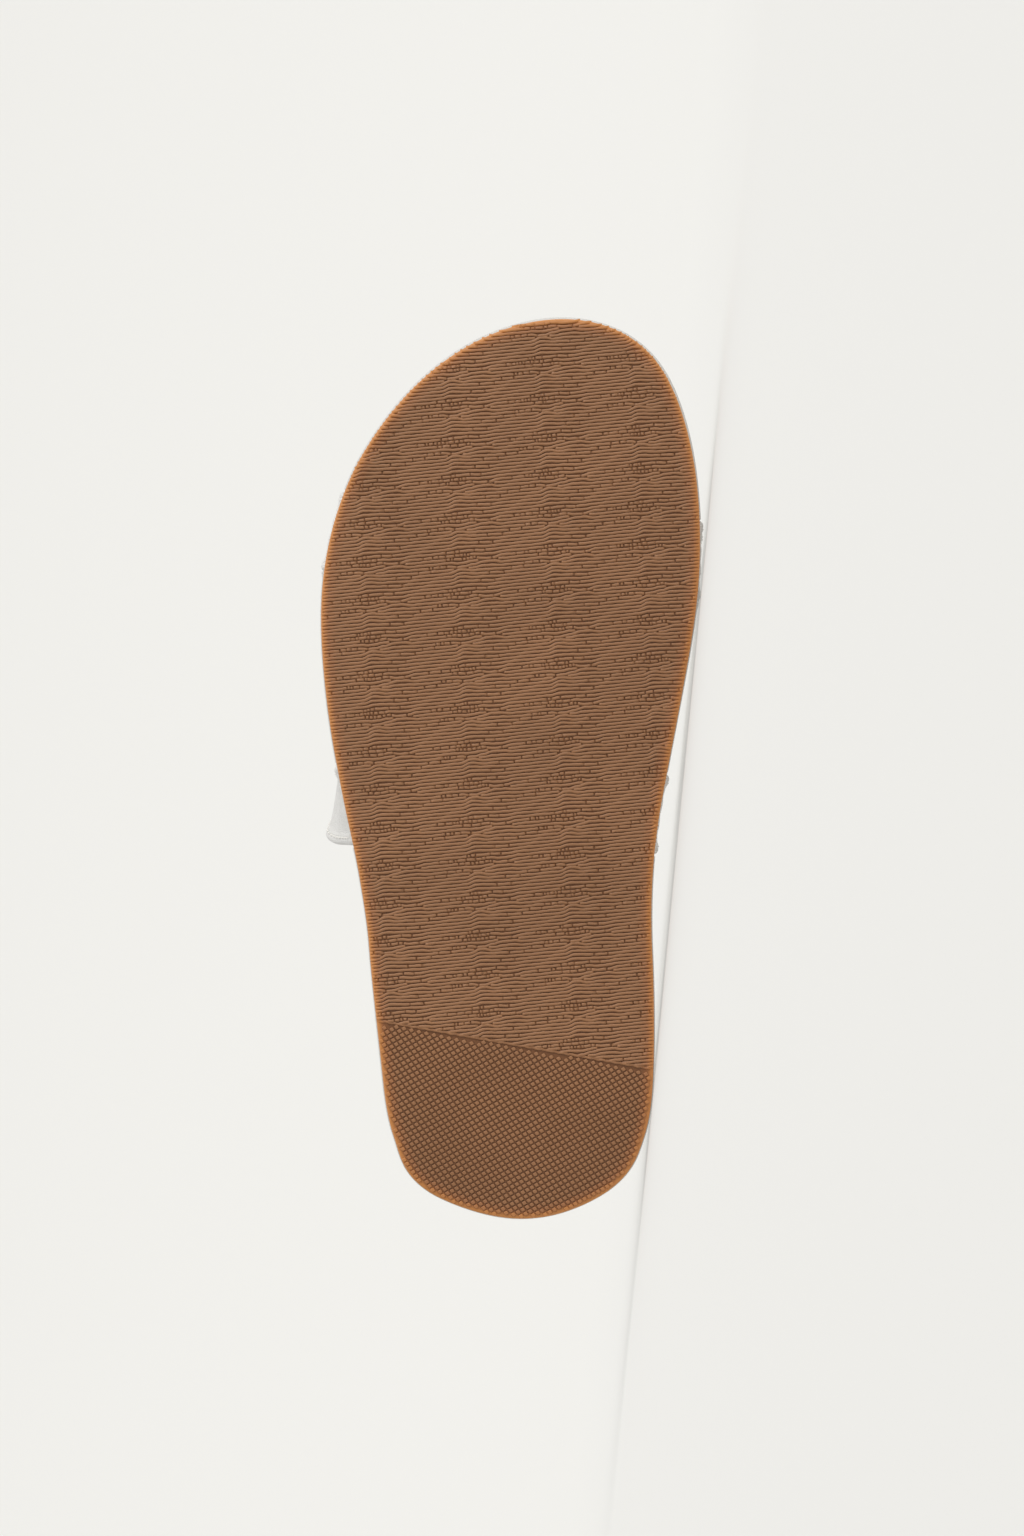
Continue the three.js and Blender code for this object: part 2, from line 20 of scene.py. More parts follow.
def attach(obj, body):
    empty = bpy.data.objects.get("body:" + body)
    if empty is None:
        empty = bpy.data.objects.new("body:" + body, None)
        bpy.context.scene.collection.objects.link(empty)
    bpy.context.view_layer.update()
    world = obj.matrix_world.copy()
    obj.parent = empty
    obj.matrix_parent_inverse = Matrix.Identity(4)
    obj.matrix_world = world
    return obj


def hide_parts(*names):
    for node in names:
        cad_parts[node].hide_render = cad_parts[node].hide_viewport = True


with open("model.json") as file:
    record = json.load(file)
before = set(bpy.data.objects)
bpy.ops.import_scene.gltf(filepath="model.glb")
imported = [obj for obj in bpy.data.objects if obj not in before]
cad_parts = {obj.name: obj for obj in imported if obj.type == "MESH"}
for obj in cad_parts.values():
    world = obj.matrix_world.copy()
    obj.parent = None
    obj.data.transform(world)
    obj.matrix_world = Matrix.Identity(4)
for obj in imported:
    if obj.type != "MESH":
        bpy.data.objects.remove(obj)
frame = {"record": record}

Array = np.ndarray
Colour = tuple[float, float, float]
MM = 0.001
SEED = 7
TINY = 1e-9
log = logging.getLogger("sandal")


class Side(IntEnum):
    """The two sides of the foot, each with its sign across the shoe."""

    OUTER = 1
    INNER = -1


@dataclass(frozen=True)
class SoleSection:
    """A section across the sole, in shares of the named sizes that its columns follow."""

    along: float
    centre: float
    breadth: float
    outer_rim: float
    inner_rim: float
    bed: float
    swell: float


@dataclass(frozen=True)
class FootSection:
    """A section of the foot under the straps, in shares of the named sizes."""

    along: float
    height: float
    ridge: float
    outer_turn: float
    inner_turn: float
    bulge: float


@dataclass(frozen=True)
class SideLevel:
    """How much of the swell the side of the footbed has reached at a level of its height."""

    level: float
    swell: float


SOLE_SECTIONS = (
    SoleSection(along=0, centre=-0.008, breadth=1.33, outer_rim=1, inner_rim=1, bed=1, swell=0.3),
    SoleSection(along=0.03, centre=0.003, breadth=1.39, outer_rim=1, inner_rim=1, bed=1, swell=0.25),
    SoleSection(along=0.09, centre=0, breadth=1.16, outer_rim=1, inner_rim=1.01, bed=1, swell=0.1),
    SoleSection(along=0.18, centre=0.005, breadth=0.945, outer_rim=0.99, inner_rim=1.05, bed=1.01, swell=0),
    SoleSection(along=0.3, centre=0.022, breadth=0.82, outer_rim=0.96, inner_rim=1.11, bed=1.07, swell=0),
    SoleSection(along=0.38, centre=0.0345, breadth=0.803, outer_rim=0.93, inner_rim=1.14, bed=1.12, swell=0),
    SoleSection(along=0.46, centre=0.043, breadth=0.845, outer_rim=0.88, inner_rim=1.08, bed=1.11, swell=0),
    SoleSection(along=0.58, centre=0.04, breadth=0.957, outer_rim=0.79, inner_rim=0.9, bed=0.97, swell=0),
    SoleSection(along=0.71, centre=0.021, breadth=1.1, outer_rim=0.73, inner_rim=0.76, bed=0.83, swell=0.05),
    SoleSection(along=0.82, centre=-0.011, breadth=1.2, outer_rim=0.72, inner_rim=0.73, bed=0.8, swell=0.3),
    SoleSection(
        along=0.91, centre=-0.056, breadth=1.275, outer_rim=0.73, inner_rim=0.73, bed=0.81, swell=0.75
    ),
    SoleSection(along=1, centre=-0.117, breadth=1.39, outer_rim=0.74, inner_rim=0.74, bed=0.83, swell=1),
)

FOOT_SECTIONS = (
    FootSection(along=0.36, height=1.2, ridge=0.09, outer_turn=0.5, inner_turn=0.55, bulge=0),
    FootSection(along=0.48, height=1.1, ridge=0.11, outer_turn=0.45, inner_turn=0.52, bulge=0.1),
    FootSection(along=0.6, height=1, ridge=0.13, outer_turn=0.4, inner_turn=0.47, bulge=0.6),
    FootSection(along=0.72, height=0.88, ridge=0.14, outer_turn=0.35, inner_turn=0.44, bulge=1),
    FootSection(along=0.84, height=0.76, ridge=0.15, outer_turn=0.34, inner_turn=0.42, bulge=1),
)

SIDE_LEVELS = (
    SideLevel(level=0.03, swell=0),
    SideLevel(level=0.1, swell=1),
    SideLevel(level=0.35, swell=0.93),
    SideLevel(level=0.7, swell=0.7),
    SideLevel(level=1, swell=0.3),
)


def smooth_column(rows: Sequence[object], column: str, key: str = "along") -> Callable[[Array], Array]:
    """A smooth curve through one column of a table.

    Args:
        rows: The table.
        column: The column that the curve goes through.
        key: The column that says where each row lies.

    Returns:
        A function that reads the curve at an array of places.
    """
    places = np.array([getattr(row, key) for row in rows], float)
    values = np.array([getattr(row, column) for row in rows], float)
    slopes = np.empty_like(values)
    slopes[1:-1] = (values[2:] - values[:-2]) / (places[2:] - places[:-2])
    slopes[0] = (values[1] - values[0]) / (places[1] - places[0])
    slopes[-1] = (values[-1] - values[-2]) / (places[-1] - places[-2])

    def curve(share: Array) -> Array:
        """Reads the curve.

        Args:
            share: Places along the table.

        Returns:
            The values there.
        """
        at = np.clip(share, places[0], places[-1])
        i = np.clip(np.searchsorted(places, at, side="right") - 1, 0, len(places) - 2)
        span = places[i + 1] - places[i]
        t = (at - places[i]) / span
        leaving = t * (1 - t) ** 2 * span * slopes[i]
        arriving = t * t * (1 - t) * span * slopes[i + 1]
        return values[i] + (values[i + 1] - values[i]) * t * t * (3 - 2 * t) + leaving - arriving

    return curve


def smooth_step(value: Array, low: float | Array, high: float | Array) -> Array:
    """A soft rise from 0 at low to 1 at high."""
    t = np.clip((value - low) / (high - low), 0, 1)
    return t * t * (3 - 2 * t)


def mix(a: float | Array, b: float | Array, share: float | Array) -> Array:
    """The value at a share of the way from a to b."""
    return a + (b - a) * share


def unit(vectors: Array) -> Array:
    """Vectors scaled to length 1."""
    return vectors / np.maximum(np.linalg.norm(vectors, axis=-1, keepdims=True), TINY)


@dataclass
class ShoeFrame:
    """Where the shoe's own frame lies in the row frame, from the two places stated on its tread."""

    heel: tuple[float, float] = (0, 40)
    forefoot: tuple[float, float] = (2, 150)

    def __post_init__(self) -> None:
        """Works out the shoe's axes and origin."""
        mounts = {mount["name"]: mount for mount in frame["record"]["mounts"]}
        heel = np.array(mounts["heel_tread"]["pos_m"]) / MM
        forefoot = np.array(mounts["forefoot_tread"]["pos_m"]) / MM
        self.up = -unit(np.array(mounts["heel_tread"]["axis"], float))
        run = unit(forefoot - heel)
        turn = math.atan2(self.forefoot[0] - self.heel[0], self.forefoot[1] - self.heel[1])
        across = unit(np.cross(run, self.up))
        self.lengthwise = run * math.cos(turn) - across * math.sin(turn)
        self.outward = across * math.cos(turn) + run * math.sin(turn)
        self.origin = heel - self.outward * self.heel[0] - self.lengthwise * self.heel[1]

    def place(self, points: Array) -> Array:
        """Points of the shoe's frame, in millimetres, as places in the row frame, in metres."""
        axes = np.stack((self.outward, self.lengthwise, self.up))
        return (self.origin + points @ axes) * MM


@dataclass
class Sole:
    """The form that outsole, footbed and insole share."""

    length: float = 252
    ball_width: float = 105.2
    outsole_thickness: float = 4
    toe_spring: float = 8
    flat_length: float = 166
    rim_height: float = 33
    bed_height: float = 23.5
    side_swell: float = 0.4
    toe_swell: float = 0.9
    foot_out: float = 0.25
    rim_width: float = 6
    rim_round: float = 3.2
    rim_drop: float = 1.8
    cup_power: float = 2.4
    fit_gap: float = 0.3
    spine_setback: float = 1 / 3
    turn_step: float = 0.01
    edge_corners: int = 900
    batch: int = 4000

    def __post_init__(self) -> None:
        """Lays smooth curves through the tables."""
        self.centre_share = smooth_column(SOLE_SECTIONS, "centre")
        self.breadth_share = smooth_column(SOLE_SECTIONS, "breadth")
        self.outer_rim_share = smooth_column(SOLE_SECTIONS, "outer_rim")
        self.inner_rim_share = smooth_column(SOLE_SECTIONS, "inner_rim")
        self.bed_share = smooth_column(SOLE_SECTIONS, "bed")
        self.swell_share = smooth_column(SOLE_SECTIONS, "swell")
        self.side_share = smooth_column(SIDE_LEVELS, "swell", "level")
        self.body_foot = self.outsole_thickness + self.fit_gap

    def along(self, y: Array) -> Array:
        """Share of the length at a place along the sole."""
        return np.clip(y / self.length, 0, 1)

    def centre(self, y: Array) -> Array:
        """Middle of the sole across."""
        return self.ball_width * self.centre_share(self.along(y))

    def half_breadth(self, y: Array) -> Array:
        """Half the breadth of the outsole."""
        along = self.along(y)
        return self.ball_width * self.breadth_share(along) * np.sqrt(along * (1 - along))

    def edge_x(self, side: Side, y: Array) -> Array:
        """Place of the outsole's edge on one side."""
        return self.centre(y) + side * self.half_breadth(y)

    def tread(self, y: Array) -> Array:
        """Height of the tread above the plane that heel and ball stand on."""
        lifted = np.maximum(y - self.flat_length, 0) / (self.length - self.flat_length)
        return self.toe_spring * lifted**2

    def edge_point(self, turn: Array) -> Array:
        """Points of the outline, from the heel along the outer side to the toe and back.

        Args:
            turn: How far round the outline each point lies, in radians.

        Returns:
            The plan points, one row each.
        """
        along = (1 - np.cos(turn)) / 2
        across = self.centre_share(along) + self.breadth_share(along) * np.sin(turn) / 2
        return np.column_stack((self.ball_width * across, self.length * along))

    def outline(self, turn: Array, outward: float | Array = 0.0) -> Array:
        """Points a distance outward of the outline, square to it.

        Args:
            turn: How far round the outline each point lies, in radians.
            outward: Distance outside the outline, negative inside it.

        Returns:
            The plan points, one row each.
        """
        run = unit(self.edge_point(turn + self.turn_step) - self.edge_point(turn - self.turn_step))
        away = np.column_stack((run[:, 1], -run[:, 0]))
        return self.edge_point(turn) + away * np.broadcast_to(outward, turn.shape)[:, None]

    def spine(self, turn: Array) -> Array:
        """Points of the line along the middle on which the surfaces close.

        Args:
            turn: How far round the outline each point lies, in radians.

        Returns:
            The plan points, one row each.
        """
        reach = self.length / 2 - self.ball_width * self.spine_setback
        y = self.length / 2 - reach * np.cos(turn)
        return np.column_stack((self.centre(y), y))

    def ring(self, plan: Array, height: float | Array) -> Array:
        """Lifts plan points to a height above the tread."""
        return np.column_stack((plan, self.tread(plan[:, 1]) + height))

    def rim(self, plan: Array) -> Array:
        """Height of the rim's crest, blended from the outer to the inner side.

        Args:
            plan: Plan points, one row each.

        Returns:
            One height for each point.
        """
        along = self.along(plan[:, 1])
        side = np.clip((plan[:, 0] - self.centre(plan[:, 1])) / (self.ball_width / 2), -1, 1)
        to_outer = (1 + np.sin(side * math.pi / 2)) / 2
        return self.rim_height * mix(self.inner_rim_share(along), self.outer_rim_share(along), to_outer)

    def bed(self, plan: Array, inward: float | Array) -> Array:
        """Height of the insole's face.

        Args:
            plan: Plan points, one row each.
            inward: Share of the way from the rim to the middle line.

        Returns:
            One height for each point.
        """
        middle = self.bed_height * self.bed_share(self.along(plan[:, 1]))
        border = self.rim(plan) - self.rim_drop
        return middle + (border - middle) * (1 - inward) ** self.cup_power

    def side_out(self, y: Array, level: float | Array) -> Array:
        """How far the side of the body stands outside the outsole at a share of its height."""
        swell = mix(self.side_swell, self.toe_swell, np.clip(self.swell_share(self.along(y)), 0, 1))
        return self.foot_out + (swell - self.foot_out) * self.side_share(level)

    def inset(self, plan: Array) -> Array:
        """Distance of plan points inside the outline, negative outside it.

        Args:
            plan: The points.

        Returns:
            One distance for each point.
        """
        count = self.edge_corners
        edge = self.edge_point(np.linspace(0, 2 * math.pi, count, endpoint=False))
        found = np.empty(len(plan))
        for start in range(0, len(plan), self.batch):
            part = plan[start : start + self.batch]
            near = ((part[:, None] - edge[None]) ** 2).sum(2).argmin(1)
            least = np.full(len(part), np.inf)
            for first in (near - 1, near):
                corner = edge[first % count]
                run = edge[(first + 1) % count] - corner
                away = part - corner
                share = np.clip((away * run).sum(1) / (run**2).sum(1), 0, 1)
                distance = np.linalg.norm(away - run * share[:, None], axis=1)
                signed = np.copysign(distance, run[:, 0] * away[:, 1] - run[:, 1] * away[:, 0])
                least = np.where(distance < np.abs(least), signed, least)
            found[start : start + self.batch] = least
        return found


@dataclass
class Model:
    """Builds the pieces: their meshes, their place on the frame and their log lines."""

    shoe: ShoeFrame
    weld_distance: float = 1e-6

    def piece(
        self,
        name: str,
        points: Array,
        faces: Array | list[Array],
        finishes: Sequence[bpy.types.Material],
        slot: str,
        replaces: str | None = None,
        layers: dict[str, Array] | None = None,
        kinds: Array | None = None,
        sharp: float | None = None,
        weld: bool = True,
    ) -> bpy.types.Object:
        """Makes one piece of the shoe.

        Args:
            name: Name of the piece.
            points: Corners in the shoe's frame.
            faces: Corner numbers of each face.
            finishes: Materials of the piece.
            slot: The record's material slot; not used.
            replaces: The solid that it stands for.
            layers: Numbers for each corner that the materials read, by name.
            kinds: Number of the material of each face.
            sharp: Angle in degrees above which an edge stays sharp.
            weld: Whether corners in one place are joined and the faces turned outward.

        Returns:
            The new object.
        """
        mesh = bpy.data.meshes.new(name)
        mesh.from_pydata(self.shoe.place(points).tolist(), [], [list(face) for face in faces])
        for label, values in (layers or {}).items():
            layer = mesh.attributes.new(label, "FLOAT", "POINT")
            layer.data.foreach_set("value", np.asarray(values, np.float32))
        if kinds is not None:
            mesh.polygons.foreach_set("material_index", np.asarray(kinds, np.int32))
        if weld:
            shell = bmesh.new()
            shell.from_mesh(mesh)
            bmesh.ops.remove_doubles(shell, verts=shell.verts, dist=self.weld_distance)
            bmesh.ops.recalc_face_normals(shell, faces=shell.faces)
            shell.to_mesh(mesh)
            shell.free()
        mesh.shade_smooth()
        if sharp is not None:
            mesh.set_sharp_from_angle(angle=math.radians(sharp))
        for finish in finishes:
            mesh.materials.append(finish)
        piece = bpy.data.objects.new(name, mesh)
        bpy.context.scene.collection.objects.link(piece)
        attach(piece, "root")
        if replaces:
            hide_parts(replaces)
        triangles = sum(len(polygon.vertices) - 2 for polygon in mesh.polygons)
        log.info("%s: %d triangles", name, triangles)
        return piece


def grid_faces(rows: int, columns: int, closed: bool) -> Array:
    """Quads between neighbouring rows of a grid of points.

    Args:
        rows: Number of rows.
        columns: Points in each row.
        closed: Whether each row is a ring.

    Returns:
        Corner numbers, four to a face.
    """
    row = np.arange(rows - 1)[:, None] * columns
    column = np.arange(columns if closed else columns - 1)[None]
    after = (column + 1) % columns
    quads = np.stack((row + column, row + after, row + columns + after, row + columns + column), axis=-1)
    return quads.reshape(-1, 4)


class Shader:
    """A material's nodes around one surface shader."""

    coat_roughness = 0.35
    mix_colours = (6, 7)
    mix_result = 2

    def __init__(self, name: str) -> None:
        """Starts the material.

        Args:
            name: Name of the material.
        """
        self.material = bpy.data.materials.new(name)
        self.material.use_nodes = True
        self.tree = self.material.node_tree
        self.surface = self.tree.nodes["Principled BSDF"]
        self.places = self.add("ShaderNodeTexCoord").outputs["Object"]

    def add(self, kind: str, **settings: object) -> bpy.types.Node:
        """Adds a node with its settings.

        Args:
            kind: Type of the node.
            settings: Values of the node's own settings, by name.

        Returns:
            The new node.
        """
        node = self.tree.nodes.new(kind)
        for name, value in settings.items():
            setattr(node, name, value)
        return node

    def feed(self, target: bpy.types.NodeSocket, value: object) -> None:
        """Links a socket to another, or sets its value.

        Args:
            target: The input socket.
            value: An output socket, or a plain value.
        """
        if isinstance(value, bpy.types.NodeSocket):
            self.tree.links.new(value, target)
        else:
            target.default_value = value

    def noise(self, size: float, detail: float = 3) -> bpy.types.NodeSocket:
        """Cloudy noise.

        Args:
            size: Size of the blots in millimetres.
            detail: How many finer layers are added.

        Returns:
            The output socket.
        """
        node = self.add("ShaderNodeTexNoise")
        self.feed(node.inputs["Vector"], self.places)
        node.inputs["Scale"].default_value = 1 / (size * MM)
        node.inputs["Detail"].default_value = detail
        return node.outputs["Fac"]

    def cells(self, size: float) -> bpy.types.NodeSocket:
        """Distance to the borders of small cells, 0 on a border.

        Args:
            size: Size of the cells in millimetres.

        Returns:
            The output socket.
        """
        node = self.add("ShaderNodeTexVoronoi", feature="DISTANCE_TO_EDGE")
        self.feed(node.inputs["Vector"], self.places)
        node.inputs["Scale"].default_value = 1 / (size * MM)
        return node.outputs["Distance"]

    def remap(
        self, value: bpy.types.NodeSocket, low: float, high: float, start: float = 0, end: float = 1
    ) -> bpy.types.NodeSocket:
        """Maps one range onto another, and holds it at its ends.

        Args:
            value: What is mapped.
            low: Value that gives start.
            high: Value that gives end.
            start: Result at low and below.
            end: Result at high and above.

        Returns:
            The output socket.
        """
        node = self.add("ShaderNodeMapRange")
        self.feed(node.inputs["Value"], value)
        for label, number in (("From Min", low), ("From Max", high), ("To Min", start), ("To Max", end)):
            node.inputs[label].default_value = number
        return node.outputs["Result"]

    def blend(self, share: bpy.types.NodeSocket, first: object, second: object) -> bpy.types.NodeSocket:
        """Mixes two colours.

        Args:
            share: How much of the second colour there is.
            first: A colour or an output socket.
            second: A colour or an output socket.

        Returns:
            The output socket.
        """
        node = self.add("ShaderNodeMix", data_type="RGBA")
        self.feed(node.inputs[0], share)
        for number, colour in zip(self.mix_colours, (first, second)):
            self.feed(node.inputs[number], (*colour, 1) if isinstance(colour, tuple) else colour)
        return node.outputs[self.mix_result]

    def bump(self, height: bpy.types.NodeSocket, depth: float, strength: float = 1) -> None:
        """Adds relief on top of the relief that is there.

        Args:
            height: The relief, 0 to 1.
            depth: Its depth in millimetres.
            strength: How strongly it shows.
        """
        node = self.add("ShaderNodeBump")
        self.feed(node.inputs["Height"], height)
        node.inputs["Distance"].default_value = depth * MM
        node.inputs["Strength"].default_value = strength
        links = self.surface.inputs["Normal"].links
        if links:
            self.feed(node.inputs["Normal"], links[0].from_socket)
        self.feed(self.surface.inputs["Normal"], node.outputs["Normal"])

    def gloss(self, roughness: float, specular: float, sheen: float = 0, coat: float = 0) -> None:
        """Sets the gloss, sheen and coat of the surface.

        Args:
            roughness: How blurred its reflections are.
            specular: How strong they are.
            sheen: Weight of the soft sheen of fibres.
            coat: Weight of a clear coat.
        """
        self.surface.inputs["Roughness"].default_value = roughness
        self.surface.inputs["Specular IOR Level"].default_value = specular
        self.surface.inputs["Sheen Weight"].default_value = sheen
        self.surface.inputs["Coat Weight"].default_value = coat
        self.surface.inputs["Coat Roughness"].default_value = self.coat_roughness


@dataclass(frozen=True)
class GumRubber:
    """Brown gum rubber with painted shade in its grooves and on its ridges' sides, and a painted amber glow
    of light through its thin edge.
    """

    name: str = "gum_rubber"
    top: Colour = (0.315, 0.148, 0.065)
    blot: Colour = (0.275, 0.128, 0.055)
    # Painted shade: the colour of the grooves and ridge sides, where little light reaches.
    groove_shade: Colour = (0.19, 0.077, 0.028)
    # russet and amber: painted glow of light shining through the rubber where its edge is thin.
    russet: Colour = (0.4, 0.148, 0.05)
    amber: Colour = (0.6, 0.25, 0.066)
    groove_shade_range: tuple[float, float] = (0.15, 0.95)
    russet_range: tuple[float, float] = (0.6, 4.2)
    russet_strength: float = 0.7
    amber_range: tuple[float, float] = (0.1, 2.0)
    amber_strength: float = 0.9
    blot_size: float = 26
    blot_range: tuple[float, float] = (0.35, 0.68)
    roughness: float = 0.44
    specular: float = 0.38
    grain: float = 0.35
    grain_depth: float = 0.02
    grain_strength: float = 0.6

    def material(self) -> bpy.types.Material:
        """Makes the material.

        Returns:
            The new material.
        """
        shader = Shader(self.name)
        blots = shader.remap(shader.noise(self.blot_size, 4), *self.blot_range)
        body = shader.blend(blots, self.top, self.blot)
        # level runs from 0 in the grooves to 1 on the tops; mixing in the dark colour by it paints shade into
        # the grooves.
        level = shader.add("ShaderNodeAttribute", attribute_name="level").outputs["Fac"]
        body = shader.blend(shader.remap(level, *self.groove_shade_range), self.groove_shade, body)
        # edge is the distance from the outline; russet and amber near it are a painted glow of light through
        # the thin rubber.
        edge = shader.add("ShaderNodeAttribute", attribute_name="edge").outputs["Fac"]
        russet = shader.remap(edge, *self.russet_range, self.russet_strength, 0)
        amber = shader.remap(edge, *self.amber_range, self.amber_strength, 0)
        body = shader.blend(amber, shader.blend(russet, body, self.russet), self.amber)
        shader.feed(shader.surface.inputs["Base Color"], body)
        shader.gloss(self.roughness, self.specular)
        shader.bump(shader.noise(self.grain, 2), self.grain_depth, self.grain_strength)
        return shader.material


@dataclass(frozen=True)
class Leather:
    """Leather or a leather-like cover, with a fine grain."""

    name: str
    colour: Colour
    shade: Colour
    grain: float
    grain_depth: float
    roughness: float
    sheen: float = 0
    coat: float = 0
    specular: float = 0.4
    cloud_size: float = 18
    cloud_range: tuple[float, float] = (0.38, 0.7)
    pore_width: float = 0.12
    pore_round: float = 0.16
    pore_strength: float = 0.55
    bulge: float = 7

    def material(self) -> bpy.types.Material:
        """Makes the material.

        Returns:
            The new material.
        """
        shader = Shader(self.name)
        clouds = shader.remap(shader.noise(self.cloud_size, 5), *self.cloud_range)
        pores = shader.remap(shader.cells(self.grain), 0, self.pore_width, self.pore_strength, 0)
        body = shader.blend(clouds, self.colour, self.shade)
        shader.feed(shader.surface.inputs["Base Color"], shader.blend(pores, body, self.shade))
        shader.gloss(self.roughness, self.specular, self.sheen, self.coat)
        shader.bump(shader.noise(self.grain * self.bulge, 3), self.grain_depth * 2, 0.5)
        shader.bump(shader.remap(shader.cells(self.grain), 0, self.pore_round), self.grain_depth)
        return shader.material


STRAP_LEATHER = Leather(
    name="strap_leather",
    colour=(0.8, 0.79, 0.765),
    shade=(0.74, 0.727, 0.697),
    grain=0.55,
    grain_depth=0.1,
    roughness=0.48,
    coat=0.06,
)
STRAP_LINING = Leather(
    name="strap_lining",
    colour=(0.72, 0.64, 0.53),
    shade=(0.64, 0.56, 0.45),
    grain=0.8,
    grain_depth=0.05,
    roughness=0.6,
    sheen=0.2,
)
BODY_COVER = Leather(
    name="body_cover",
    colour=(0.66, 0.65, 0.625),
    shade=(0.615, 0.605, 0.578),
    grain=0.6,
    grain_depth=0.09,
    roughness=0.5,
)
INSOLE_LEATHER = Leather(
    name="insole_leather",
    colour=(0.62, 0.55, 0.455),
    shade=(0.585, 0.515, 0.42),
    grain=0.9,
    grain_depth=0.12,
    roughness=0.58,
    sheen=0.15,
)


@dataclass(frozen=True)
class Thread:
    """Twisted sewing thread."""

    name: str
    colour: Colour
    twist: float = 0.5
    twist_depth: float = 0.06
    roughness: float = 0.55
    specular: float = 0.4
    sheen: float = 0.2

    def material(self) -> bpy.types.Material:
        """Makes the material.

        Returns:
            The new material.
        """
        shader = Shader(self.name)
        shader.surface.inputs["Base Color"].default_value = (*self.colour, 1)
        shader.gloss(self.roughness, self.specular, self.sheen)
        shader.bump(shader.noise(self.twist, 1), self.twist_depth)
        return shader.material


class Defect(Enum):
    """Ways in which the ridges of the tread break their run."""

    HOOK = "hook"
    LOST = "lost"
    BEADS = "beads"
    ISLAND = "island"


@dataclass(frozen=True)
class WaveDefect:
    """A defect of the repeat: its ridge, counted from that of the hook towards the toe, and the
    shares of the repeat's width between which it lies, counted towards the inner side."""

    kind: Defect
    row: int
    start: float
    end: float


WAVE_CHART = (
    WaveDefect(kind=Defect.HOOK, row=0, start=0, end=0.07),
    WaveDefect(kind=Defect.BEADS, row=-3, start=-0.07, end=0.09),
    WaveDefect(kind=Defect.BEADS, row=-4, start=-0.25, end=0.2),
    WaveDefect(kind=Defect.BEADS, row=-5, start=-0.1, end=0.27),
    WaveDefect(kind=Defect.BEADS, row=4, start=-0.26, end=-0.14),
    WaveDefect(kind=Defect.ISLAND, row=-3, start=0.25, end=0.365),
    WaveDefect(kind=Defect.ISLAND, row=1, start=0.39, end=0.55),
    WaveDefect(kind=Defect.ISLAND, row=2, start=0.63, end=0.76),
    WaveDefect(kind=Defect.ISLAND, row=4, start=-0.07, end=0.04),
    WaveDefect(kind=Defect.ISLAND, row=-1, start=0.3, end=0.45),
    WaveDefect(kind=Defect.ISLAND, row=-5, start=0.44, end=0.7),
    WaveDefect(kind=Defect.LOST, row=-6, start=0.3, end=0.5),
    WaveDefect(kind=Defect.LOST, row=3, start=0.02, end=0.16),
)


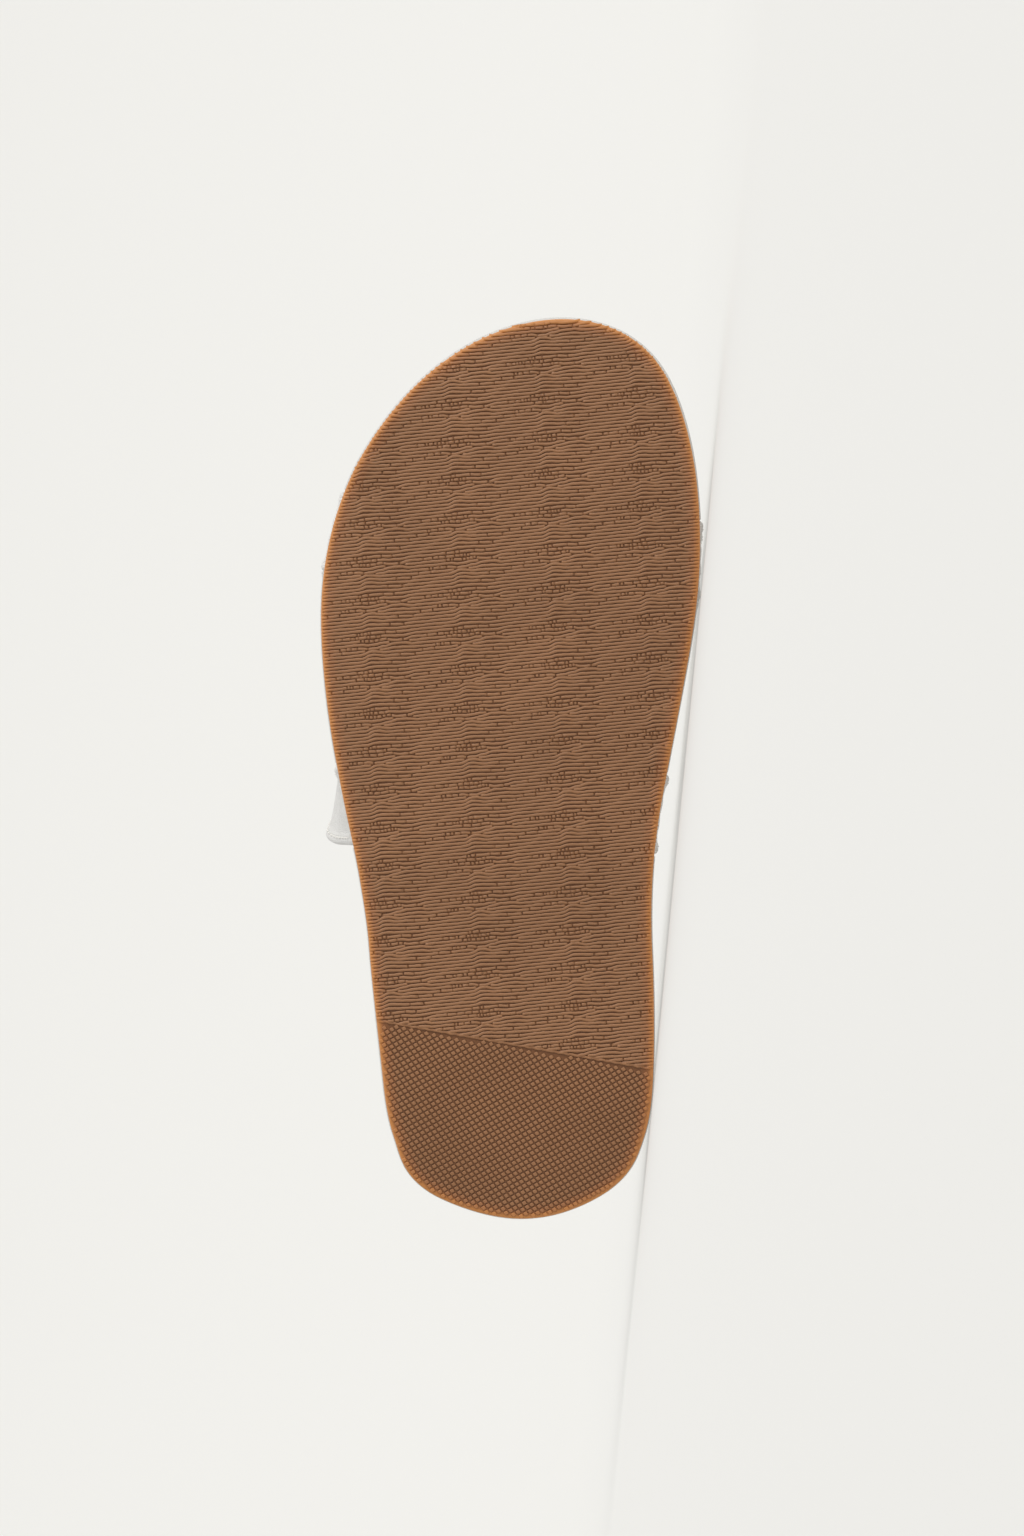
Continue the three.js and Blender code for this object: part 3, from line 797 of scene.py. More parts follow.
@dataclass
class Outsole:
    """Thin rubber outsole: a shell with a fluted forefoot and a studded heel.

    The edge profiles are pairs of an inset from the outline and a height or a drop, divide is the
    slanting line's place on the middle and its slope, and the wave's tile is one repeat of its defects.
    """

    model: Model
    sole: Sole
    groove_depth: float = 0.42
    upper_edge_drops: tuple[tuple[float, float], ...] = ((0.6, 0), (0.18, 0.12), (0, 0.5))
    lower_edge: tuple[tuple[float, float], ...] = (
        (0, 1.7), (0.03, 1.15), (0.14, 0.78), (0.3, 0.56), (0.5, 0.46), (0.75, 0.42),
    )
    back_shares: tuple[float, ...] = (1, 0.75, 0.5, 0.25)
    back_inset: float = 30
    floor_shares: tuple[float, ...] = (0.03, 0.08, 0.16, 0.3, 0.45, 0.6, 0.8, 1)
    floor_reach: float = 45
    # Where the painted shade starts on the edge's slope, and how far inwards it deepens.
    shade_start: float = 0.14
    shade_width: float = 0.36
    overlap: float = 0.04
    outline_steps: int = 420
    border: float = 0.12
    divide: tuple[float, float] = (48.1, 0.1763)
    divide_gap: float = 0.3
    divide_clear: float = 0.75

    hook: tuple[float, float] = (18.4, 178.3)
    hook_push: float = 0.6
    hook_fade: float = 0.36
    hook_spread: float = 8
    lost_pull: float = 0.5
    lost_spread: float = 2
    lost_ease: tuple[float, float] = (0.05, 0.04)
    wave_pitch: float = 0.9688
    wave_rise: float = 5.8
    wave_step: float = 0.8
    wave_reach: float = 0.62
    wave_halves: float = 150
    wave_start: float = 36
    wave_past_toe: float = 12
    wobbles: tuple[tuple[float, float, float], ...] = ((0.05, 0.9, 1.7), (0.035, 2.7, 4.1))
    width_wobbles: tuple[tuple[float, float, float], ...] = ((0.07, 1.9, 2.3), (0.05, 0.63, 1))
    ridge_foot: float = 0.95
    ridge_top: float = 0.72
    ridge_start: float = 0.8
    ridge_spare: float = 0.02
    break_depth: float = 0.45
    break_half: float = 0.08
    break_ease: float = 0.28
    break_change: float = 5.3
    end_start: float = -0.1
    end_ease: float = 0.35
    bead_least: float = 0.8
    bead_most: float = 1.9
    bead_skew: float = 1.5
    tile_width: float = 25.95
    tile_rows: int = 11
    tile_climb: int = 1
    tile_shift: float = 0.56
    tile_columns: int = 3

    line_span: tuple[float, float] = (-46, 48)
    line_step: float = 0.5
    line_foot: float = 0.95
    line_top: float = 0.62
    line_start: tuple[float, float] = (0.4, 1.4)
    line_least: float = 0.72

    stud_origin: tuple[float, float] = (0, 26)
    stud_reach: int = 60
    stud_pitch: tuple[float, float] = (1.442, 1.412)
    stud_rise: tuple[float, float] = (28.5, -54)
    stud_share: float = 0.74
    stud_corner: float = 0.68
    stud_border: float = 0.72
    stud_gap: float = 0.5
    stud_start: float = 1.2
    stud_variation: float = 0.05
    stud_profile: tuple[tuple[float, float], ...] = ((1.12, 0.0), (1.0, 0.75), (0.86, 0.96), (0.6, 1.0))

    def divide_y(self, x: Array) -> Array:
        """Place of the slanting line that parts waves from studs."""
        return self.divide[0] + self.divide[1] * x

    def inner_ring(self, turn: Array, border: float, share: float, height: float) -> Array:
        """A ring at a share of the way from a border inside the outline to the middle line."""
        plan = mix(self.sole.outline(turn, -border), self.sole.spine(turn), share)
        return self.sole.ring(plan, height)

    def shell(self, finish: bpy.types.Material) -> None:
        """Builds the sheet with its eased edges and sunk grooves.

        Args:
            finish: The rubber.
        """
        turn = np.linspace(0, 2 * math.pi, self.outline_steps, endpoint=False)
        thick = self.sole.outsole_thickness
        upper_edge = [(inset, thick - drop) for inset, drop in self.upper_edge_drops]
        back_border = upper_edge[0][0]
        floor_border = self.lower_edge[-1][0]
        rings = []
        insets = []
        shade_levels = []
        for share in self.back_shares:
            rings.append(self.inner_ring(turn, back_border, share, thick))
            insets.append(self.back_inset)
            shade_levels.append(1.0)
        for inset, height in (*upper_edge, *self.lower_edge):
            # Rings down the edge's slope take painted shade, darker further in; the floor rings below get the
            # full painted shade.
            shade = min(max(inset - self.shade_start, 0) / self.shade_width, 1)
            rings.append(self.sole.ring(self.sole.outline(turn, -inset), height))
            insets.append(inset)
            shade_levels.append(1.0 if height > 1 else 1 - shade)
        for share in self.floor_shares:
            rings.append(self.inner_ring(turn, floor_border, share, self.groove_depth))
            insets.append(floor_border + share * self.floor_reach)
            shade_levels.append(0.0)
        layers = {"edge": np.repeat(insets, len(turn)), "level": np.repeat(shade_levels, len(turn))}
        faces = grid_faces(len(rings), len(turn), True)
        self.model.piece(
            "outsole_shell", np.concatenate(rings), faces, [finish], "gum_rubber", "outsole", layers=layers
        )

    def strip(self, x: Array, y: Array, stand: Array, width: Array, inset: Array, top: float) -> Array:
        """Corners of one ridge: foot, shoulder, shoulder and foot at each of its places.

        Args:
            x: Places across the sole.
            y: Places along the sole.
            stand: How far the ridge stands up at each place, 0 to 1.
            width: Width of its foot at each place.
            inset: Distance of each place from the outsole's edge.
            top: Width of its top as a share of that of its foot.

        Returns:
            The corners, four for each place.
        """
        run = unit(np.column_stack((np.gradient(x), np.gradient(y))))
        away = np.column_stack((-run[:, 1], run[:, 0]))
        middle = np.column_stack((x, y))
        low = np.interp(inset, *np.array(self.lower_edge).T) + self.overlap
        corners = []
        for offset, height in ((-1, low), (-top, low * (1 - stand)), (top, low * (1 - stand)), (1, low)):
            corners.append(self.sole.ring(middle + away * (offset * width / 2)[:, None], height))
        return np.stack(corners, axis=1).reshape(-1, 3)

    def meetings(self, number: int) -> Iterator[tuple[WaveDefect, float, int]]:
        """The defects along one ridge, over all the repeats that it crosses.

        Args:
            number: Number of the ridge.

        Returns:
            Each defect with its place across the sole and how many ridges off it lies.
        """
        for column in range(-self.tile_columns, self.tile_columns + 1):
            for defect in WAVE_CHART:
                rows = number - self.tile_climb * column - defect.row
                tile = round(rows / self.tile_rows)
                place = self.hook[0] + self.tile_width * column + self.tile_shift * tile
                yield defect, place, rows - self.tile_rows * tile

    def line_y(self, number: int, x: Array) -> Array:
        """Where a ridge runs along the sole, swung off its straight line by the defects near it.

        Args:
            number: Number of the ridge.
            x: Places across the sole.

        Returns:
            Places along the sole.
        """
        slope = math.tan(math.radians(self.wave_rise))
        y = self.hook[1] + number * self.wave_pitch - (x - self.hook[0]) * slope
        for swing, rate, turn in self.wobbles:
            y = y + swing * np.sin(x * rate + number * turn)
        for defect, place, away in self.meetings(number):
            share = (place - x) / self.tile_width
            if defect.kind is Defect.HOOK:
                step = smooth_step(share, defect.start, defect.end)
                fade = 1 - np.clip((share - defect.end) / self.hook_fade, 0, 1)
                nearness = math.exp(-(away**2) / self.hook_spread)
                y = y + self.hook_push * self.wave_pitch * step * fade * nearness
            if defect.kind is Defect.LOST and away:
                outer, inner = self.lost_ease
                inside = smooth_step(share, defect.start - outer, defect.start + inner)
                inside = inside * (1 - smooth_step(share, defect.end - inner, defect.end + outer))
                pull = self.lost_pull * self.wave_pitch * math.exp(-(abs(away) - 1) / self.lost_spread)
                y = y - math.copysign(pull, away) * inside
        return y

    def stops(self, number: int, rng: np.random.Generator) -> tuple[list[float], list[tuple[float, float]]]:
        """Where a ridge is broken, and the stretches where it is missing.

        Args:
            number: Number of the ridge.
            rng: Source of small differences.

        Returns:
            Places of breaks, and pairs of ends of missing stretches.
        """
        broken: list[float] = []
        missing: list[tuple[float, float]] = []
        for defect, place, away in self.meetings(number):
            start = place - defect.end * self.tile_width
            end = place - defect.start * self.tile_width
            if away:
                continue
            if defect.kind is Defect.BEADS:
                while start < end:
                    broken.append(start)
                    start += self.bead_least + self.bead_most * rng.random() ** self.bead_skew
            elif defect.kind is Defect.ISLAND:
                broken.extend((start, end))
            elif defect.kind is Defect.LOST:
                missing.append((start, end))
        return broken, missing

    def ridge(self, number: int, rng: np.random.Generator) -> tuple[Array, ...]:
        """One ridge of the waves, with its breaks, cut off at the border of its field.

        Args:
            number: Number of the ridge.
            rng: Source of small differences.

        Returns:
            Places across and along, how far it stands up, its width, its distance from the
            edge, and how far it is inside its field.
        """
        reach = self.sole.ball_width * self.wave_reach
        broken, missing = self.stops(number, rng)
        offsets = (-self.break_ease, -self.break_half, self.break_half, self.break_ease)
        extra = [cut + off for cut in broken for off in offsets]
        offsets = (-self.end_ease, 0, self.end_ease)
        extra += [end + off for pair in missing for end in pair for off in offsets]
        extra = [place for place in extra if abs(place) < reach]
        x = np.unique(np.round(np.concatenate((np.arange(-reach, reach, self.wave_step), extra)), 3))
        inside = self.field(x, self.line_y(number, x))
        turned = np.flatnonzero(np.sign(inside[:-1]) != np.sign(inside[1:]))
        share = inside[turned] / (inside[turned] - inside[turned + 1])
        x = np.sort(np.concatenate((x, x[turned] + (x[turned + 1] - x[turned]) * share)))
        y = self.line_y(number, x)
        stand = np.ones_like(x)
        for cut in broken:
            depth = mix(self.break_depth, 1, (0.5 + 0.5 * math.sin(cut * self.break_change)) ** 2)
            beyond = smooth_step(np.abs(x - cut), self.break_half, self.break_ease)
            stand = np.minimum(stand, 1 - depth * (1 - beyond))
        for start, end in missing:
            beyond = np.abs(x - (start + end) / 2) - (end - start) / 2
            stand = np.minimum(stand, smooth_step(beyond, self.end_start, self.end_ease))
        inset = self.sole.inset(np.column_stack((x, y)))
        past_line = smooth_step(y - self.divide_y(x), self.divide_gap, self.divide_clear)
        stand = stand * smooth_step(inset, 0, self.ridge_start) * past_line
        change = np.ones_like(x)
        for swing, rate, turn in self.width_wobbles:
            change = change + swing * np.sin(x * rate + number * turn)
        return x, y, stand, self.ridge_foot * change, inset, self.field(x, y)

    def field(self, x: Array, y: Array) -> Array:
        """How far places lie inside the waves' part of the tread, negative outside it."""
        inset = self.sole.inset(np.column_stack((x, y))) - self.border
        return np.minimum(inset, y - self.divide_y(x) - self.divide_gap)

    def waves(self, finish: bpy.types.Material) -> None:
        """Builds the fine wavy ridges from the toe to the slanting line, in two pieces.

        Args:
            finish: The rubber.
        """
        rng = np.random.default_rng(SEED)
        parts: dict[str, Relief] = {"outsole_waves_arch": Relief(), "outsole_waves_ball": Relief()}
        first = int((self.wave_start - self.hook[1]) / self.wave_pitch)
        last = int((self.sole.length + self.wave_past_toe - self.hook[1]) / self.wave_pitch)
        for number in range(first, last):
            x, y, stand, width, inset, inside = self.ridge(number, rng)
            in_field = inside > -self.ridge_spare
            keep = in_field[:-1] & in_field[1:] & ((stand[:-1] > 0) | (stand[1:] > 0))
            if not keep.any():
                continue
            place = self.hook[1] + number * self.wave_pitch
            part = parts["outsole_waves_arch" if place < self.wave_halves else "outsole_waves_ball"]
            part.add(self.strip(x, y, stand, width, inset, self.ridge_top), keep, inset, stand)
        for name, part in parts.items():
            part.build(self.model, name, finish)

    def divide_bead(self, finish: bpy.types.Material) -> None:
        """Builds the thin raised line between waves and studs.

        Args:
            finish: The rubber.
        """
        x = np.arange(*self.line_span, self.line_step)
        y = self.divide_y(x) + self.divide_gap + 0.16 * np.abs(np.sin(x * 1.15)) + 0.06 * np.sin(x * 2.9)
        inset = self.sole.inset(np.column_stack((x, y)))
        beaded = self.line_least + (1 - self.line_least) * np.sin(x * 0.9) ** 2
        stand = smooth_step(inset, *self.line_start) * beaded
        keep = (inset[:-1] > self.border) & (inset[1:] > self.border)
        bead = Relief()
        width = np.full(x.shape, self.line_foot)
        bead.add(self.strip(x, y, stand, width, inset, self.line_top), keep, inset, stand)
        bead.build(self.model, "outsole_divide_bead", finish)

    def studs(self, finish: bpy.types.Material) -> None:
        """Builds the small squares of the heel.

        Args:
            finish: The rubber.
        """
        rng = np.random.default_rng(SEED)
        rises = [math.radians(rise) for rise in self.stud_rise]
        steps = [
            pitch * np.array((-math.cos(rise), math.sin(rise))) for pitch, rise in zip(self.stud_pitch, rises)
        ]
        numbers = np.arange(-self.stud_reach, self.stud_reach + 1)
        first, second = (table.ravel() for table in np.meshgrid(numbers, numbers))
        centres = np.array(self.stud_origin) + first[:, None] * steps[0] + second[:, None] * steps[1]
        inset = self.sole.inset(centres)
        below = self.divide_y(centres[:, 0]) - centres[:, 1]
        chosen = (inset > self.stud_border) & (below > self.stud_gap)
        centres = centres[chosen]
        inset = inset[chosen]
        stand = smooth_step(inset, 0, self.stud_start)
        corner = self.stud_corner
        outline = np.array((
            (1, corner), (corner, 1), (-corner, 1), (-1, corner),
            (-1, -corner), (-corner, -1), (corner, -1), (1, -corner),
        ))
        outline = (outline[:, :1] * steps[0] + outline[:, 1:] * steps[1]) * self.stud_share / 2
        low = self.groove_depth + self.overlap
        profile = self.stud_profile
        sizes = 1 + self.stud_variation * (rng.random(len(centres)) - 0.5)
        rings = []
        for scale, level in profile:
            plan = centres[:, None] + outline[None] * scale * sizes[:, None, None]
            height = np.repeat(low * (1 - level * stand), len(outline))
            rings.append(self.sole.ring(plan.reshape(-1, 2), height).reshape(len(centres), -1, 3))
        points = np.stack(rings, axis=1).reshape(-1, 3)
        each = len(profile) * len(outline)
        side = grid_faces(len(profile), len(outline), True)
        base = (np.arange(len(centres)) * each)[:, None, None]
        quads = (base + side[None]).reshape(-1, 4)
        caps = (base[:, 0] + np.arange(len(outline))[::-1]).tolist()
        tops = (base[:, 0] + each - len(outline) + np.arange(len(outline))).tolist()
        faces = [face[::-1] for face in quads.tolist() + caps + tops]
        # Level rises from 0 at the stud's foot to 1 on its top: painted shade on its sides and in the gaps.
        shares = np.repeat([level for _, level in profile], len(outline))
        layers = {"edge": np.repeat(inset, each), "level": np.tile(shares, len(centres))}
        self.model.piece(
            "outsole_heel_studs", points, faces, [finish], "gum_rubber", "outsole", layers=layers, weld=False
        )

    def build(self, finish: bpy.types.Material) -> None:
        """Builds all pieces of the outsole.

        Args:
            finish: The rubber.
        """
        self.shell(finish)
        self.waves(finish)
        self.divide_bead(finish)
        self.studs(finish)


class Relief:
    """Ridges of the tread that are gathered into one piece."""

    corners = 4

    def __init__(self) -> None:
        """Starts with nothing."""
        self.points: list[Array] = []
        self.faces: list[Array] = []
        self.edges: list[Array] = []
        self.shade_levels: list[Array] = []
        self.count = 0

    def add(self, corners: Array, keep: Array, inset: Array, stand: Array) -> None:
        """Adds one ridge.

        Args:
            corners: Its corners, four for each place along it.
            keep: Which of its lengths between places exist.
            inset: Distance of each place from the outsole's edge.
            stand: How far the ridge stands up at each place.
        """
        start = self.count + self.corners * np.flatnonzero(keep)
        after = start + self.corners
        for a in range(self.corners):
            b = (a + 1) % self.corners
            self.faces.append(np.column_stack((start + a, start + b, after + b, after + a)))
        self.points.append(corners)
        self.edges.append(np.repeat(inset, self.corners))
        # Ridge feet get 0 and shoulders the ridge's stand, so grooves and broken places take painted shade.
        self.shade_levels.append((stand[:, None] * np.array((0.0, 1.0, 1.0, 0.0))).ravel())
        self.count += len(corners)

    def build(self, model: Model, name: str, finish: bpy.types.Material) -> None:
        """Makes the piece, without the corners that no face uses.

        Args:
            model: The builder of pieces.
            name: Name of the piece.
            finish: Its material.
        """
        quads = np.concatenate(self.faces)
        used, numbers = np.unique(quads, return_inverse=True)
        quads = numbers.reshape(quads.shape)[:, ::-1]
        layers = {"edge": np.concatenate(self.edges)[used], "level": np.concatenate(self.shade_levels)[used]}
        points = np.concatenate(self.points)[used]
        model.piece(name, points, quads, [finish], "gum_rubber", "outsole", layers=layers, weld=False)


@dataclass(frozen=True)
class Crease:
    """A soft trough across a strap between two low ridges."""

    step: float
    lean: float
    start: float
    end: float
    width: float
    depth: float


@dataclass(frozen=True)
class StrapRun:
    """One strap: the middles of its ends back from the toe, and its creases."""

    name: str
    outer_end: float
    inner_end: float
    on_top: bool
    creases: tuple[Crease, ...]


class Skin(Enum):
    """What a point of the ring round a strap's section belongs to."""

    FACE = "face"
    EDGE = "edge"
    BACK = "back"


UNDER = StrapRun(
    name="strap_under",
    outer_end=59.8,
    inner_end=139,
    on_top=False,
    creases=(
        Crease(step=14.5, lean=0.5, start=-1, end=0.5, width=0.7, depth=0.3),
        Crease(step=16.6, lean=-0.6, start=-0.3, end=1, width=0.6, depth=0.22),
        Crease(step=38.5, lean=0.7, start=-1, end=0.7, width=0.8, depth=0.32),
        Crease(step=36.2, lean=-0.4, start=-0.1, end=1, width=0.6, depth=0.2),
    ),
)
OVER = StrapRun(
    name="strap_over",
    outer_end=136.5,
    inner_end=68,
    on_top=True,
    creases=(
        Crease(step=13.4, lean=0.6, start=-1, end=0.6, width=0.8, depth=0.35),
        Crease(step=15.8, lean=-0.5, start=-0.4, end=1, width=0.6, depth=0.22),
        Crease(step=18.4, lean=0.4, start=-1, end=0.2, width=0.5, depth=0.16),
        Crease(step=39.3, lean=-0.5, start=-0.8, end=1, width=0.7, depth=0.28),
        Crease(step=37.4, lean=0.6, start=-1, end=0.1, width=0.5, depth=0.18),
    ),
)


@dataclass
class Straps:
    """Two turned-edge leather straps that cross over the foot and tuck in under the footbed."""

    model: Model
    sole: Sole
    wall: float = 2.2
    hem_width: float = 3.3
    hem_rise: float = 0.5
    hem_full: float = 0.75
    hem_gone: float = 1.1
    proud: float = 0.2
    end_width: float = 22.5
    middle_width: float = 29
    tuck: float = 9
    bend: float = 2.2
    crossing_height: float = 75
    inner_bulge: float = 0.6
    outer_bulge: float = 0.4
    crossing_sink: float = 0.45
    crossing_ramp: float = 13
    swing: float = 0.16
    loose_edge: float = 7.8
    loose_height: float = 38
    loose_fade: float = 1.5
    outer_fullness: float = 2
    inner_fullness: float = 2.15
    tuck_steps: int = 2
    bend_steps: int = 4
    rise_steps: int = 6
    arc_steps: int = 30
    quarter_steps: int = 24
    face_places: tuple[float, ...] = (1.65, 1.95, 2.3, 2.65, 3.0, 3.35, 3.7, 4.4)
    inner_shares: tuple[float, ...] = (0.25, 0.5, 0.75, 1)
    back_border: float = 3
    back_shares: tuple[float, ...] = (0.6, 0.3, 0, -0.3, -0.6)
    edge_points: int = 7
    tuck_rings: int = 2
    bend_rings: int = 8
    rise_rings: int = 14
    arc_rings: int = 110
    stitch_inset: float = 2.3
    stitch_groove: float = 0.22
    stitch_groove_width: float = 0.4
    stitch_lift: float = 0.12
    seam_points: int = 500
    seam_margin: float = 0.6
    seam_clearance: float = 0.6
    shortest_seam: int = 8
    gather_depth: float = 0.13
    gather_reach: float = 1.3
    gather_folds: float = 13
    crease_ease: tuple[float, float] = (0.2, 0.25)
    crease_shoulder: float = 1.4
    slope_step: float = 0.35
    across_step: float = 0.1

    def __post_init__(self) -> None:
        """Lays smooth curves through the foot's table."""
        self.foot_height = smooth_column(FOOT_SECTIONS, "height")
        self.foot_ridge = smooth_column(FOOT_SECTIONS, "ridge")
        self.foot_bulge = smooth_column(FOOT_SECTIONS, "bulge")
        self.turns = {
            Side.OUTER: smooth_column(FOOT_SECTIONS, "outer_turn"),
            Side.INNER: smooth_column(FOOT_SECTIONS, "inner_turn"),
        }
        self.end_steps = self.tuck_steps + self.bend_steps + self.rise_steps
        self.steps = 2 * self.end_steps + self.arc_steps
        self.low = self.sole.body_foot + self.wall / 2
        self.seam_start = self.tuck_steps + self.bend_steps + self.seam_margin

    def turn_height(self, side: Side, y: Array) -> Array:
        """Height above the tread at which the straps begin to lean over the foot."""
        return self.crossing_height * self.turns[side](self.sole.along(y))

    def side_x(self, side: Side, y: Array, height: Array) -> Array:
        """Place across of the middle of the wall beside the body.

        Args:
            side: The side of the foot.
            y: Places along the sole.
            height: Heights above the tread.

        Returns:
            Places across the sole.
        """
        slant = self.sole.edge_x(side, y + 0.5) - self.sole.edge_x(side, y - 0.5)
        edge = self.sole.edge_x(side, y)
        shoulder = self.sole.rim(np.column_stack((edge, y))) - self.sole.rim_round
        level = np.clip((height - self.sole.body_foot) / (shoulder - self.sole.body_foot), 0, 1)
        most = self.outer_bulge if side == Side.OUTER else self.inner_bulge
        bulge = most * self.foot_bulge(self.sole.along(y))
        out = self.sole.side_out(y, level) + self.proud - self.wall / 2
        above = smooth_step(height, shoulder, self.turn_height(side, y))
        return edge + side * (out * np.hypot(1, slant) + bulge * above)

    def side_point(self, side: Side, y: Array, step: Array) -> tuple[Array, Array]:
        """The middle of the wall from the tucked end up one side.

        Args:
            side: The side of the foot.
            y: Places along the sole.
            step: Places along the strap, in steps from its end on this side.

        Returns:
            Places across the sole, and heights.
        """
        foot = self.side_x(side, y, np.full(y.shape, self.low + self.bend))
        in_tuck = step < self.tuck_steps
        in_bend = ~in_tuck & (step < self.tuck_steps + self.bend_steps)
        tuck_x = foot - side * mix(self.tuck, self.bend, step / self.tuck_steps)
        angle = np.clip((step - self.tuck_steps) / self.bend_steps, 0, 1) * math.pi / 2
        bend_x = foot - side * self.bend * (1 - np.sin(angle))
        bend_z = self.low + self.bend * (1 - np.cos(angle))
        rising = np.clip((step - self.tuck_steps - self.bend_steps) / self.rise_steps, 0, 1)
        height = mix(self.low + self.bend, self.turn_height(side, y), rising)
        x = np.where(in_tuck, tuck_x, np.where(in_bend, bend_x, self.side_x(side, y, height)))
        z = np.where(in_tuck, self.low, np.where(in_bend, bend_z, height))
        return x, self.sole.tread(y) + z

    def over_point(self, y: Array, share: Array) -> tuple[Array, Array]:
        """The middle of the wall on its arc over the foot.

        Args:
            y: Places along the sole.
            share: Shares of the length of the arc, from the outer side.

        Returns:
            Places across the sole, and heights.
        """
        along = self.sole.along(y)
        peak_x = self.sole.centre(y) - self.sole.ball_width * self.foot_ridge(along)
        peak_z = self.sole.tread(y) + self.crossing_height * self.foot_height(along)
        angle = np.linspace(0, math.pi / 2, self.quarter_steps + 1)
        arcs = []
        for side, fullness in ((Side.OUTER, self.outer_fullness), (Side.INNER, self.inner_fullness)):
            from_x, from_z = self.side_point(side, y, np.full(y.shape, float(self.end_steps)))
            sweep = np.clip(np.cos(angle), 0, 1) ** (2 / fullness)
            climb = np.sin(angle) ** (2 / fullness)
            x = peak_x[:, None] + (from_x - peak_x)[:, None] * sweep
            z = from_z[:, None] + (peak_z - from_z)[:, None] * climb
            arcs.append((x, z))
        x = np.concatenate((arcs[0][0], arcs[1][0][:, -2::-1]), axis=1)
        z = np.concatenate((arcs[0][1], arcs[1][1][:, -2::-1]), axis=1)
        run = np.cumsum(np.hypot(np.diff(x, axis=1), np.diff(z, axis=1)), axis=1)
        run = np.concatenate((np.zeros((len(y), 1)), run), axis=1)
        target = share * run[:, -1]
        i = np.clip((run < target[:, None]).sum(1) - 1, 0, run.shape[1] - 2)
        rows = np.arange(len(y))
        t = (target - run[rows, i]) / (run[rows, i + 1] - run[rows, i])
        return mix(x[rows, i], x[rows, i + 1], t), mix(z[rows, i], z[rows, i + 1], t)

    def cross_share(self, step: Array) -> Array:
        """Share of the way across the foot, with a soft swing off each rim.

        Args:
            step: Places along the strap, in steps.

        Returns:
            Shares from 0 at the outer rim to 1 at the inner rim.
        """
        start = self.end_steps - self.rise_steps / 2
        t = np.clip((step - start) / (self.steps - 2 * start), 0, 1)
        near = np.minimum(t, 1 - t)
        bend = np.minimum(near, self.swing)
        way = near - bend + bend * bend / (2 * self.swing)
        whole = 1 - self.swing
        return np.where(t < 0.5, way, whole - way) / whole

    def middle_y(self, run: StrapRun, step: Array) -> Array:
        """Place along the sole of a strap's middle line."""
        length = self.sole.length
        return mix(length - run.outer_end, length - run.inner_end, self.cross_share(step))

    def width(self, step: Array) -> Array:
        """Width of a strap, which grows towards its middle."""
        return mix(self.end_width, self.middle_width, np.sin(math.pi * self.cross_share(step)) ** 2)

    def middle(self, run: StrapRun, step: Array, across: Array) -> Array:
        """Middle of a strap's wall.

        Args:
            run: The strap.
            step: Places along it, in steps.
            across: Places across it, from -1 at its rear edge to 1 at its front edge.

        Returns:
            Points, one row each.
        """
        y = self.middle_y(run, step) + across * self.width(step) / 2
        outer_x, outer_z = self.side_point(Side.OUTER, y, np.minimum(step, self.end_steps))
        inner_x, inner_z = self.side_point(Side.INNER, y, np.minimum(self.steps - step, self.end_steps))
        over_x, over_z = self.over_point(y, np.clip((step - self.end_steps) / self.arc_steps, 0, 1))
        outer = step < self.end_steps
        inner = step > self.end_steps + self.arc_steps
        x = np.where(outer, outer_x, np.where(inner, inner_x, over_x))
        z = np.where(outer, outer_z, np.where(inner, inner_z, over_z))
        return np.column_stack((x, y, z))

    def normal(self, run: StrapRun, step: Array, across: Array) -> Array:
        """Unit vectors square to the wall, away from the foot.

        Args:
            run: The strap.
            step: Places along the strap, in steps.
            across: Places across it, from -1 at its rear edge to 1 at its front edge.

        Returns:
            The vectors, one row each.
        """
        after = self.middle(run, np.minimum(step + self.slope_step, self.steps), across)
        before = self.middle(run, np.maximum(step - self.slope_step, 0), across)
        sideways = self.middle(run, step, across + self.across_step)
        sideways -= self.middle(run, step, across - self.across_step)
        return unit(np.cross(sideways, after - before))

    def crossing_lift(self, run: StrapRun, step: Array, across: Array) -> Array:
        """How far the strap on top rises to pass over the one below.

        Args:
            run: The strap.
            step: Places along the strap, in steps.
            across: Places across it, from -1 at its rear edge to 1 at its front edge.

        Returns:
            One height for each place.
        """
        if not run.on_top:
            return np.zeros(step.shape)
        half = self.width(step) / 2
        y = self.middle_y(run, step) + across * half
        away = np.abs(y - self.middle_y(UNDER, step)) - half
        near = 1 - smooth_step(away, 0, self.crossing_ramp)
        return (self.wall - self.crossing_sink + self.hem_rise) * near

    def loose_lift(self, run: StrapRun, step: Array, across: Array, height: Array) -> Array:
        """How far the rear edge of the outer rear end stands off the foot.

        Args:
            run: The strap.
            step: Places along the strap, in steps.
            across: Places across it, from -1 at its rear edge to 1 at its front edge.
            height: Heights of the places.

        Returns:
            One distance for each place.
        """
        rising = smooth_step(height, self.sole.body_foot + self.bend, self.loose_height)
        falling = 1 - smooth_step(height, self.loose_height, self.crossing_height)
        share = np.maximum(1 - across, 0) / 2
        lift = self.loose_edge * rising * falling * share**self.loose_fade
        return np.where((step < self.steps / 2) & run.on_top, lift, 0)

    def surface(self, run: StrapRun, step: Array, across: Array, height: Array) -> tuple[Array, Array]:
        """Points at a height off the middle of the wall, and the way out of it.

        Args:
            run: The strap.
            step: Places along it.
            across: Places across it.
            height: Heights off the middle of the wall, positive away from the foot.

        Returns:
            The points and the unit normals.
        """
        normal = self.normal(run, step, across)
        rise = height + self.crossing_lift(run, step, across)
        points = self.middle(run, step, across) + normal * rise[:, None]
        points[:, 0] += self.loose_lift(run, step, across, points[:, 2])
        return points, normal

    def out_of_tuck(self, step: Array) -> Array:
        """0 where the end is pressed flat under the footbed and 1 past its bend."""
        from_end = np.minimum(step, self.steps - step)
        return smooth_step(from_end, self.tuck_steps, self.tuck_steps + self.bend_steps)

